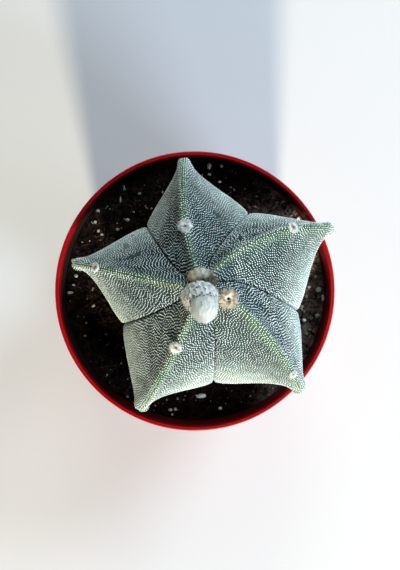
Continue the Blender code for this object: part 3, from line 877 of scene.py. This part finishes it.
def picked(pattern, closest, least):
    """Cells of the pattern from its highest down, none nearer to another than closest."""
    reach = int(round(closest / CELL))
    span = np.arange(-reach, reach + 1)
    disc = span[:, None] ** 2 + span[None, :] ** 2 > reach**2
    free = np.ones((pattern.shape[0] + 2 * reach, pattern.shape[1] + 2 * reach), bool)
    rows, columns = np.nonzero(pattern > least)
    order = np.argsort(-pattern[rows, columns])
    found = []
    for row, column in zip(rows[order].tolist(), columns[order].tolist()):
        if free[row + reach, column + reach]:
            free[row : row + 2 * reach + 1, column : column + 2 * reach + 1] &= disc
            found.append((row, column))
    return np.array(found)


def ridges(pattern):
    """The way each spot of the pattern runs, as an angle from the grid's rows, and how long it is."""
    down, across = np.gradient(pattern)
    down_down, down_across = np.gradient(down)
    across_across = np.gradient(across, axis=1)
    middle = (down_down + across_across) / 2
    differ = np.hypot((down_down - across_across) / 2, down_across)
    stretch = np.sqrt((differ - middle) / np.maximum(-(middle + differ), 0.02 * differ + 1e-9))
    return 0.5 * np.arctan2(2 * down_across, down_down - across_across), np.clip(stretch, 1, LONGEST)


# %% Measuring a flank
GROOVE_CLEAR = 0.00015
FLANK_ROWS = 420
FLANK_COLUMNS = 70


class Flank:
    """One side of a rib, with distances down and across it measured on the skin."""

    def __init__(self, sector):
        self.sector = sector
        self.alongs = np.linspace(0.012, 0.85, FLANK_ROWS)
        self.parts = np.linspace(0, 1, FLANK_COLUMNS)
        along, part = np.meshgrid(self.alongs, self.parts, indexing="ij")
        points = skin(along, self.turn(part))
        steps = np.linalg.norm(np.diff(points[:, FLANK_COLUMNS // 2], axis=0), axis=-1)
        self.down = np.concatenate([[0], np.cumsum(steps)])
        steps = np.linalg.norm(np.diff(points, axis=1), axis=-1)
        self.across = np.concatenate([np.zeros((len(along), 1)), np.cumsum(steps, axis=1)], axis=1)

    def turn(self, part):
        """The skin's turn for a part of the way from this flank's crest to its groove."""
        if self.sector % 2 == 0:
            return self.sector + part * 0.9999
        return (self.sector + 1 - part * 0.9999) % 10

    def place(self, down, across):
        """Along and turn of points at these distances, and whether they are on the flank."""
        along = np.interp(down, self.down, self.alongs)
        row = np.clip(np.searchsorted(self.down, down), 0, len(self.down) - 1)
        part = np.array([np.interp(a, self.across[r], self.parts) for a, r in zip(across, row)])
        return along, self.turn(part), across < self.across[row, -1] - GROOVE_CLEAR


# %% Growing them
FLECK_RADIUS = 0.00019
FLECK_LEAST = 0.05
FLECK_NEAREST = 0.8 * FLECK_PITCH
# Scuffs without flecks that the photo shows: place and radius in millimetres
BARE_SPOTS = ((-20.8, 13.8, 0.9), (-19.2, 17.1, 0.55), (13.4, 15.8, 0.7))


def grow_flecks(flank, draw):
    """Places of a flank's flecks, drawn out along their rows, and how far each is from the crest."""
    rows = int(flank.down[-1] / CELL)
    columns = int(flank.across.max() / CELL)
    pattern = even_pattern(rows, columns, draw)
    angles, stretches = ridges(pattern)
    cells = picked(pattern, FLECK_NEAREST, FLECK_LEAST)
    height = pattern[cells[:, 0], cells[:, 1]]
    angle = angles[cells[:, 0], cells[:, 1]]
    stretch = stretches[cells[:, 0], cells[:, 1]]
    spots = (cells + draw.uniform(0.2, 0.8, cells.shape)) * CELL
    along, turn, kept = flank.place(spots[:, 0], spots[:, 1])
    points = skin(along, turn)
    for x, y, radius in BARE_SPOTS:
        kept &= np.hypot(points[:, 0] - x / 1000, points[:, 1] - y / 1000) > radius / 1000
    along, turn, points, spots = along[kept], turn[kept], points[kept], spots[kept]
    height, angle, stretch = height[kept], angle[kept, None], stretch[kept]
    outs = skin_normals(along, turn)
    lower = unit(skin(np.minimum(along + 0.003, 1), turn) - points)
    side = unit(np.cross(outs, lower)) * (1 if flank.sector % 2 == 0 else -1)
    crowding = crowded(along, turn)
    size = FLECK_RADIUS * np.clip(0.75 + 0.12 * height, 0.7, 1.15) * (1 + 0.15 * crowding)
    size *= draw.uniform(0.88, 1.12, len(size))
    tall = size * (0.7 - 0.25 * crowding)
    sizes = np.stack([size * stretch, size, tall], axis=-1)
    return stood(points, outs, lower * np.cos(angle) + side * np.sin(angle), sizes), spots[:, 1]


# %% Flecks of the five ribs and their crests
# Each is a low peg with six sides: shaded smooth, it reads as round at this size
FLECK_PEG = (6, 0.35, 0.2)
GREENISH_SHARE = 0.75
flanks = [Flank(sector) for sector in range(10)]
fleck_finish = two_tone(
    "white_fleck", 300, 2, (0.76, 0.90, 0.87), (0.90, 0.97, 0.96), Roughness=0.9, Sheen_Weight=0.3,
)
crest_finish = two_tone(
    "crest_fleck", 300, 2, (0.68, 0.82, 0.62), (0.88, 0.96, 0.86), Roughness=0.9, Sheen_Weight=0.3,
)
crest_places = []
for rib, name in enumerate(RIBS):
    draw = np.random.default_rng(100 + rib)
    places = []
    for flank in (flanks[2 * rib], flanks[(2 * rib - 1) % 10]):
        tufts, far = grow_flecks(flank, draw)
        greenish = draw.uniform(0, 1, len(far)) < GREENISH_SHARE * bell(far, CREST_ROWS)
        places.append(tufts[~greenish])
        crest_places.append(tufts[greenish])
    show(f"flecks_{name}", crowd(peg(*FLECK_PEG), np.concatenate(places)), fleck_finish, "white_flecks")
show("flecks_crests", crowd(peg(*FLECK_PEG), np.concatenate(crest_places)), crest_finish, "white_flecks")

# %% [markdown]
# ## Areoles
# An areole is the felted cushion from which a cactus makes spines or flowers. Each sits astride a
# crest as a low oval pad of buff-white felt, pitted where old hairs fell out, with a fringe of
# short hairs. The pads match those of the solid model in place and size.

# %% Felt pads
# Those that the photo shows: number of the rib, share of its reach, and radius
AREOLES = (
    (3, 0.448, 0.0024), (0, 0.451, 0.0021), (2, 0.716, 0.0019), (4, 0.792, 0.0016), (1, 0.846, 0.0015),
)
LOWER_AREOLES = (0.66, 0.75)
LOWER_AREOLE_RADIUS = 0.0018
AREOLE_THICK = 0.55
AREOLE_RISE = 0.15
PIT_PLACE = -0.25
PIT_WIDTH = 0.26
PIT_DEPTH = 0.5


def along_of(share):
    """Where a line's radius is this share of its reach, above the widest level."""
    return TOP_SHARE * math.asin(share ** (1 / MITRE)) / (math.pi / 2)


def seat(spot, out, down):
    """A matrix that sets things on the skin: x down the rib, z out of it."""
    axes = np.stack([down, np.cross(out, down), out], axis=-1)
    return Matrix.Translation(Vector(spot)) @ Matrix(axes.tolist()).to_4x4()


def felt_pad(bm, spot, out, down, radius, seed):
    """One oval pad with lobes round a pit, added to a bmesh."""
    made = bmesh.ops.create_uvsphere(bm, u_segments=32, v_segments=22, radius=1)["verts"]
    for vert in made:
        lump = 1 + 0.22 * noise.noise(vert.co * 2.0 + Vector((seed, 0, 0)))
        crease = max(0, noise.noise(vert.co * 3.2 + Vector((0, seed, 0))) - 0.05)
        far = math.hypot(vert.co.x - PIT_PLACE, vert.co.y)
        dimple = PIT_DEPTH * math.exp(-((far / PIT_WIDTH) ** 2)) if vert.co.z > 0 else 0
        vert.co *= lump - 0.55 * crease
        vert.co.z -= dimple
    shape = Matrix.Diagonal((radius * 0.92, radius, AREOLE_THICK * radius, 1))
    bmesh.ops.transform(bm, matrix=seat(spot + out * AREOLE_RISE * radius, out, down) @ shape, verts=made)


# %% Setting the pads on their crests
pad_bm = bmesh.new()
pad_frames = []
for rib, share, radius in AREOLES:
    pad_frames.append((*crest_frame(rib, along_of(share)), 0.9 * radius))
for rib in range(5):
    for lower in LOWER_AREOLES:
        pad_frames.append((*crest_frame(rib, lower), 0.9 * LOWER_AREOLE_RADIUS))
pits = []
for number, (spot, out, down, radius) in enumerate(pad_frames):
    felt_pad(pad_bm, spot, out, down, radius, 1.7 * number)
    pits.append(spot + down * PIT_PLACE * radius + out * 0.5 * radius)
pad_mesh = mesh_of(pad_bm)
pit_away = corners_of(pad_mesh.vertices)[:, None] - np.array(pits)[None]
pit_away = np.linalg.norm(pit_away, axis=-1).min(axis=1)
marked(pad_mesh, "pit", bell(pit_away, 0.0005))
felt = Recipe("areole_felt", Roughness=0.95, Sheen_Weight=0.3)
felt_cloud = felt.noise(750, 4, 0.65)
felt_colour = felt.mix(felt.band(felt_cloud, 0.36, 0.60), (0.30, 0.28, 0.23), (0.76, 0.77, 0.73))
felt_finish = felt.feed(
    Base_Color=felt.mix(felt.attribute("pit") * 1.1, felt_colour, (0.075, 0.060, 0.028)),
    Normal=felt.bump(felt.noise(3000, 3, 0.7), 0.0003),
)
show("areole_pads", pad_mesh, felt_finish, "dry_felt")

# %% Hairs on the pads
PAD_HAIRS = 4.5e7
fringe_roots = []
fringe_ways = []
draw = np.random.default_rng(31)
for spot, out, down, radius in pad_frames:
    count = int(PAD_HAIRS * radius**2)
    turn = draw.uniform(0, math.tau, count)
    reach = np.sqrt(draw.uniform(0.25, 1, count))
    away = round_about(turn, down, np.cross(out, down))
    lift = AREOLE_RISE + 0.9 * AREOLE_THICK * np.sqrt(1 - (0.95 * reach) ** 2)
    fringe_roots.append(spot + away * (0.95 * radius * reach)[:, None] + out * (radius * lift)[:, None])
    fringe_ways.append(away * (0.5 + reach)[:, None] + out * 0.35 + draw.normal(0, 0.4, (count, 3)))
fringe_roots = np.concatenate(fringe_roots)
fringe_lengths = draw.uniform(0.0003, 0.0008, len(fringe_roots))
fringe = hairs(fringe_roots, np.concatenate(fringe_ways), fringe_lengths, 0.00004, 0.35, 32)
hair_finish = two_tone(
    "white_hair", 900, 2, (0.60, 0.59, 0.55), (0.82, 0.83, 0.80), Roughness=0.7, Sheen_Weight=0.2,
)
show("areole_hairs", fringe, hair_finish, "dry_felt")

# %% [markdown]
# ## The bud
# The bud leans out of the crown. Its foot is a bun of woolly scales, each ending in a dark bristle
# tip, and out of the bun stands a blunt cone whose silky hairs all lie towards its point.
# The marks on it are laid as the camera sees them, so the camera's place is worked out here.

# %% Where the camera is
# It looks straight down. The rim's radius and the picture's middle are measured in pixels
RIM_IN_PICTURE = 139.9
OFF_MIDDLE = (5.1, 6.05)
CAMERA_ABOVE_RIM = 0.43
pixel = RIM_RADIUS / RIM_IN_PICTURE
eye = Vector((OFF_MIDDLE[0] * pixel, OFF_MIDDLE[1] * pixel, POT_HEIGHT + CAMERA_ABOVE_RIM))

# %% Bun and cone
crown = np.array((PLANT_X, PLANT_Y, SOIL_TOP + CROWN_HEIGHT - CROWN_DIP))
bun_middle = crown + np.array((-0.0006, -0.0031, 0.0046))
BUN_RADIUS = 0.0050
BUN_HALF = 0.0040
CONE_RADIUS = 0.0038
CONE_LENGTH = 0.0096
BUD_TILT = math.radians(47)
BUD_AZIMUTH = math.radians(-84)
bud_flat = math.sin(BUD_TILT)
bud_way = np.array((
    bud_flat * math.cos(BUD_AZIMUTH),
    bud_flat * math.sin(BUD_AZIMUTH),
    math.cos(BUD_TILT),
))
bud_side = np.array(Vector(bud_way).orthogonal().normalized())
bud_other = np.cross(bud_way, bud_side)
cone_middle = bun_middle + np.array((0.0009, 0, 0)) + bud_way * CONE_LENGTH * 0.48
bud_axes = np.stack([bud_side, bud_other, bud_way], axis=-1)
bun_radii = (BUN_RADIUS, BUN_RADIUS, BUN_HALF)
cone_radii = (CONE_RADIUS, CONE_RADIUS, CONE_LENGTH / 2)


def bun_points(ball):
    """Points of a unit ball sent to the bun."""
    lumps = np.array([1 + 0.05 * noise.noise(Vector(point) * 3) for point in ball])
    return bun_middle + (ball * bun_radii * lumps[:, None]) @ bud_axes.T


def cone_points(ball):
    """Points of a unit ball sent to the cone."""
    taper = 1 - 0.22 * ball[:, 2] - 0.10 * ball[:, 2] ** 2
    tapers = np.stack([taper, taper, np.ones(len(ball))], axis=-1)
    return cone_middle + (ball * (tapers * cone_radii)) @ bud_axes.T


def ball_mesh(send, segments, rings):
    """A ball's mesh with its points sent somewhere by a formula."""
    bm = bmesh.new()
    bmesh.ops.create_uvsphere(bm, u_segments=segments, v_segments=rings, radius=1)
    for vert, point in zip(bm.verts, send(corners_of(bm.verts))):
        vert.co = point
    return mesh_of(bm)


wool = Recipe("bud_wool", Roughness=0.95, Sheen_Weight=0.4)
wool_cloud = wool.noise(650, 4, 0.6)
wool_finish = wool.feed(
    Base_Color=wool.mix(wool.band(wool_cloud, 0.36, 0.6), (0.43, 0.42, 0.38), (0.78, 0.79, 0.78)),
    Normal=wool.bump(wool.noise(2600, 3, 0.7), 0.0003),
)
show("bud_bun", ball_mesh(bun_points, 64, 40), wool_finish, "bud_wool", "flower_bud")
silk = Recipe("bud_silk", Roughness=0.6, Sheen_Weight=0.4)
silk_finish = silk.feed(
    Base_Color=silk.mix(silk.band(silk.noise(500, 2), 0.35, 0.6), (0.59, 0.61, 0.56), (0.70, 0.73, 0.70)),
    Normal=silk.bump(silk.noise(1800, 3), 0.0002),
)
show("bud_cone", ball_mesh(cone_points, 48, 40), silk_finish, "bud_wool")

# %% Scales with dark tips
GOLDEN_ANGLE = math.radians(137.5)
SCALES = 56
SCALE_POINT = 0.05
lean = np.radians(48 + 1.25 * np.arange(SCALES))
turn = np.arange(SCALES) * GOLDEN_ANGLE
around = round_about(turn, bud_side, bud_other)
up = np.cos(lean)[:, None] * bud_way
away = np.sin(lean)[:, None] * around
scale_spots = bun_middle + up * BUN_HALF + away * BUN_RADIUS
scale_outs = unit(up * BUN_RADIUS + away * BUN_HALF)
tip_ways = unit(bud_way - scale_outs * (scale_outs @ bud_way)[:, None])
showing = scale_spots[:, 2] > crown[2] + 0.0028
scale_spots, scale_outs, tip_ways = scale_spots[showing], scale_outs[showing], tip_ways[showing]
point_ways = unit(tip_ways + 0.3 * scale_outs)
scale_count = len(scale_spots)
leaf_sizes = np.tile((0.00075, 0.0004, 0.0022), (scale_count, 1))
across = np.cross(point_ways, scale_outs)
leaves = crowd(peg(6, SCALE_POINT), stood(scale_spots, point_ways, across, leaf_sizes))
show("bud_scales", leaves, wool_finish, "bud_wool")
tip_sizes = np.tile((0.00022, 0.00014, 0.0009), (scale_count, 1))
tip_spots = scale_spots + point_ways * 0.0009 + scale_outs * 0.0002
tips = crowd(peg(6, SCALE_POINT), stood(tip_spots, point_ways + 0.4 * scale_outs, across, tip_sizes))
tip_finish = two_tone("dark_tips", 900, 2, (0.05, 0.04, 0.035), (0.12, 0.09, 0.07), Roughness=0.7)
show("scale_tips", tips, tip_finish, "bud_wool")

# %% Marks that show from above
# The last bristle tips lie flat on the bud where the photo shows them: place in millimetres,
# direction in degrees and length in tenths of a millimetre
MARKS = (
    (-2.35, -1.05, 60, 9), (-1.1, 0.15, 35, 8), (0.33, 0.72, 20, 9), (1.36, 1.2, 5, 14),
    (0.9, -1.2, 10, 6), (1.65, -0.85, 15, 6), (2.6, -1.2, 165, 6), (3.65, -0.9, 160, 6),
    (4.5, -1.2, 150, 6), (5.4, -1.4, 140, 5), (2.1, -3.0, 80, 4), (2.15, -3.8, 90, 3),
    (0.2, 1.65, 20, 6), (0.6, 2.75, 10, 5), (-1.3, 1.05, 40, 6), (-1.4, -0.55, 60, 6),
    (-1.8, -1.95, 75, 5), (-1.1, -1.4, 60, 5), (-0.85, -2.35, 70, 5), (-2.25, -4.0, 100, 5),
    (-1.4, -4.0, 90, 5), (-0.65, -3.9, 80, 5), (5.2, 2.5, 150, 5), (2.6, 1.0, 170, 6),
    (-3.0, 0.4, 60, 5),
)
MARK_LEVEL = POT_HEIGHT + 0.049
MARK_RISE = 0.00032
MARK_WIDTHS = (0.00018, 0.00020)
MARK_STRETCH = 1.3
bud_skin = bmesh.new()
for send, segments in ((bun_points, 64), (cone_points, 48)):
    bud_skin.from_mesh(ball_mesh(send, segments, 40))
bud_tree = BVHTree.FromBMesh(bud_skin)
bud_skin.free()
laid = []
for x, y, turn, length in MARKS:
    aim = Vector((x / 1000, y / 1000, MARK_LEVEL)) - eye
    spot, out, _, _ = bud_tree.ray_cast(eye, aim.normalized())
    if spot is None:
        continue
    way = Vector((math.cos(math.radians(turn)), math.sin(math.radians(turn)), 0))
    sizes = (*MARK_WIDTHS, MARK_STRETCH * length / 10000)
    laid.append((spot + out * MARK_RISE, way - out * way.dot(out), out, sizes))
marks = stood(*[np.array(column) for column in zip(*laid)])
show("bud_marks", crowd(peg(6, SCALE_POINT), marks), tip_finish, "bud_wool")
print("marks on the bud", len(laid))

# %% Wool on the bun, silk on the cone
draw = np.random.default_rng(42)


def on_ball(count, low, high, seed):
    """Random points of a unit ball between two heights."""
    chance = np.random.default_rng(seed)
    height = chance.uniform(low, high, count)
    turn = chance.uniform(0, math.tau, count)
    flat = np.sqrt(1 - height**2)
    return np.stack([flat * np.cos(turn), flat * np.sin(turn), height], axis=-1)


def combed(ball, send, radii, lift, loose):
    """Roots on the bun or the cone, and ways that lie towards the bud's point."""
    outs = unit((ball / radii) @ bud_axes.T)
    ways = unit(bud_way - outs * (outs @ bud_way)[:, None]) + outs * lift
    return send(ball), ways + draw.normal(0, loose, (len(ball), 3))


bun_ball = on_ball(2600, -0.5, 0.95, 41)
roots, ways = combed(bun_ball, bun_points, bun_radii, 0.45, 0.45)
show("bun_wool", hairs(roots, ways, 0.0008, 0.00004, 0.35, 43), hair_finish, "bud_wool")
cone_ball = on_ball(1800, -0.5, 0.985, 44)
roots, ways = combed(cone_ball, cone_points, cone_radii, 0.05, 0.07)
silk_hair = two_tone(
    "silk_hair", 500, 2, (0.61, 0.63, 0.58), (0.72, 0.75, 0.72), Roughness=0.6, Sheen_Weight=0.3,
)
show("cone_silk", hairs(roots, ways, 0.0014, 0.00004, 0.06, 45), silk_hair, "bud_wool")

# %% [markdown]
# ## Wool behind the bud
# The growing point hides under felt: a buff tuft behind the bud and paler wisps beside it.

# %% Tufts
# Azimuth round the growing point in degrees, distance from it and radius
WOOL_LUMPS = (
    (132, 0.0038, 0.0017), (110, 0.0036, 0.0016), (88, 0.0040, 0.0013),
    (68, 0.0035, 0.0012), (46, 0.0034, 0.0012), (24, 0.0036, 0.0013),
)
TUFT_COMB = np.array((0.25, 0.2, 0.3))
TUFT_HAIRS = 240
tuft_bm = bmesh.new()
tuft_roots = []
tuft_ways = []
for number, (turn, reach, radius) in enumerate(WOOL_LUMPS):
    angle = math.radians(turn)
    middle = crown + np.array((reach * math.cos(angle), reach * math.sin(angle), 0.0020))
    made = bmesh.ops.create_uvsphere(tuft_bm, u_segments=24, v_segments=16, radius=radius)["verts"]
    for vert in made:
        vert.co *= 0.92 + 0.10 * noise.noise(vert.co * 900)
    bmesh.ops.translate(tuft_bm, vec=Vector(middle), verts=made)
    ball = on_ball(TUFT_HAIRS, -0.1, 1, 50 + number)
    tuft_roots.append(middle + ball * radius * 0.86)
    tuft_ways.append(ball * 0.7 + TUFT_COMB)
tuft_mesh = mesh_of(tuft_bm)
tuft_hairs = hairs(np.concatenate(tuft_roots), np.concatenate(tuft_ways), 0.0007, 0.000045, 0.35, 60)


def paleness(mesh):
    """0 where the felt is olive brown, to the right of the growing point, and 1 where it is pale."""
    away = corners_of(mesh.vertices) - crown
    turn = np.degrees(np.arctan2(away[:, 1], away[:, 0]))
    marked(mesh, "pale", np.interp(turn, (20, 50, 66, 92, 112, 140), (0.0, 0.1, 0.75, 0.95, 0.6, 0.5)))
    return mesh


def felt_of_crown(name):
    """Felt that goes from olive brown through buff to grey-white."""
    recipe = Recipe(name, Roughness=0.95, Sheen_Weight=0.2)
    pale = recipe.attribute("pale") + (recipe.noise(800, 3) - 0.5) * 0.9
    brown = recipe.mix(recipe.band(pale, 0.0, 0.5), (0.080, 0.062, 0.032), (0.50, 0.42, 0.29))
    colour = recipe.mix(recipe.band(pale, 0.55, 1.0), brown, (0.70, 0.72, 0.68))
    return recipe.feed(Base_Color=colour, Normal=recipe.bump(recipe.noise(2500, 3, 0.7), 0.0003))


show("crown_tufts", paleness(tuft_mesh), felt_of_crown("crown_felt"), "crown_felt", "crown_wool")
show("crown_hairs", paleness(tuft_hairs), felt_of_crown("crown_hair"), "crown_felt")

# %% [markdown]
# ## The flower scar
# Where an older flower dropped, a ragged ring of dry felt is left round a deep dark hole.

# %% Ring and flakes
SCAR_RIB = 1
SCAR_SHARE = 0.185
SCAR_RADIUS = 0.0017
SCAR_THICK = 0.0012
FLAKES = 420
scar_spot, scar_out, scar_down = crest_frame(SCAR_RIB, along_of(SCAR_SHARE))
scar_bm = bmesh.new()
section = Matrix.Translation((SCAR_RADIUS, 0, 0)) @ Matrix.Rotation(math.pi / 2, 4, "X")
bmesh.ops.create_circle(scar_bm, segments=18, radius=SCAR_THICK, matrix=section)
bmesh.ops.spin(
    scar_bm, geom=scar_bm.verts[:] + scar_bm.edges[:], cent=(0, 0, 0), axis=(0, 0, 1),
    angle=math.tau, steps=48, use_merge=True,
)
bmesh.ops.remove_doubles(scar_bm, verts=scar_bm.verts, dist=MERGE)
for vert in scar_bm.verts:
    ragged = 0.30 * noise.noise(vert.co * 650) + 0.22 * noise.noise(vert.co * 1900)
    vert.co *= 0.88 + ragged + 0.08 * noise.noise(vert.co * 4000)
scar_seat = seat(scar_spot + scar_out * 0.0006, scar_out, scar_down)
bmesh.ops.transform(scar_bm, matrix=scar_seat, verts=scar_bm.verts)
dry = Recipe("dry_felt", Roughness=0.95)
dry_cloud = dry.noise(900, 4, 0.65)
dry_finish = dry.feed(
    Base_Color=dry.mix(dry.band(dry_cloud, 0.38, 0.6), (0.16, 0.09, 0.035), (0.78, 0.70, 0.55)),
    Normal=dry.bump(dry.noise(3000, 3, 0.7), 0.0004),
)
show("scar_ring", mesh_of(scar_bm), dry_finish, "dry_felt", "flower_scar")
draw = np.random.default_rng(71)
turn = draw.uniform(0, math.tau, FLAKES)
reach = draw.uniform(0.0008, 0.0028, FLAKES)
away = round_about(turn, scar_down, np.cross(scar_out, scar_down))
lift = np.sqrt(np.maximum(0, 1 - ((reach - SCAR_RADIUS) / SCAR_THICK) ** 2)) * 0.0011
flake_roots = scar_spot + away * reach[:, None] + scar_out * (lift + 0.0005)[:, None]
flake_ways = away * 0.8 + scar_out * 0.5 + draw.normal(0, 0.5, (FLAKES, 3))
flakes = hairs(flake_roots, flake_ways, 0.0010, 0.00006, 0.4, 72)
flake_finish = two_tone("dry_flake", 900, 3, (0.30, 0.21, 0.11), (0.84, 0.78, 0.66), Roughness=0.8)
show("scar_flakes", flakes, flake_finish, "dry_felt")

# %% [markdown]
# ## Floor, light and camera
# The pot stands on a white table by a window. A small warm light stands low behind the picture's
# lower edge and throws the long shadow. Broad cool lights on the right, a weak one behind the
# picture's upper edge and a dim sky fill the shadows. The camera looks straight down.

# %% White table
TABLE_SIZE = 6.0
table_bm = bmesh.new()
bmesh.ops.create_grid(table_bm, x_segments=8, y_segments=8, size=TABLE_SIZE / 2)
table = linked("white_table", mesh_of(table_bm))
table.data.materials.append(
    two_tone("white_paper", 3, 2, (0.51, 0.50, 0.50), (0.53, 0.515, 0.512), Roughness=0.9)
)

# %% Soft lights
LIGHT_DISTANCE = 1.8
# Azimuth from the picture's right and elevation in degrees, size in metres, power in watts, colour
LIGHTS = {
    "low_window": (-85, 21, 0.20, 61, (1.0, 0.92, 0.70)),
    "front_right": (-45, 36, 0.70, 27, (0.64, 0.79, 1.0)),
    "right": (0, 40, 0.70, 7, (0.85, 0.85, 1.0)),
    "back_right": (45, 42, 0.70, 27, (0.64, 0.83, 1.0)),
    "back": (90, 40, 0.70, 10, (0.92, 0.94, 0.78)),
}
for name, (azimuth, elevation, size, power, colour) in LIGHTS.items():
    lamp = bpy.data.lights.new(name, "AREA")
    lamp.shape = "DISK"
    lamp.size = size
    lamp.energy = power
    lamp.color = colour
    flat = LIGHT_DISTANCE * math.cos(math.radians(elevation))
    away = Vector((
        flat * math.cos(math.radians(azimuth)),
        flat * math.sin(math.radians(azimuth)),
        LIGHT_DISTANCE * math.sin(math.radians(elevation)),
    ))
    light = linked(name, lamp)
    light.location = Vector((0, 0, POT_HEIGHT)) + away
    light.rotation_euler = (-away).to_track_quat("-Z", "Y").to_euler()
sky = bpy.data.worlds.new("sky")
sky.use_nodes = True
sky.node_tree.nodes["Background"].inputs["Color"].default_value = (1.0, 0.97, 0.94, 1)
sky.node_tree.nodes["Background"].inputs["Strength"].default_value = 0.04
bpy.context.scene.world = sky

# %% Camera straight above
bpy.context.scene.view_settings.view_transform = "Standard"
PICTURE_HEIGHT = 570
camera_data = bpy.data.cameras.new("camera")
camera_data.sensor_width = 36
camera_data.lens = 36 * CAMERA_ABOVE_RIM / (PICTURE_HEIGHT * pixel)
camera = linked("camera", camera_data)
camera.location = eye
bpy.context.scene.camera = camera
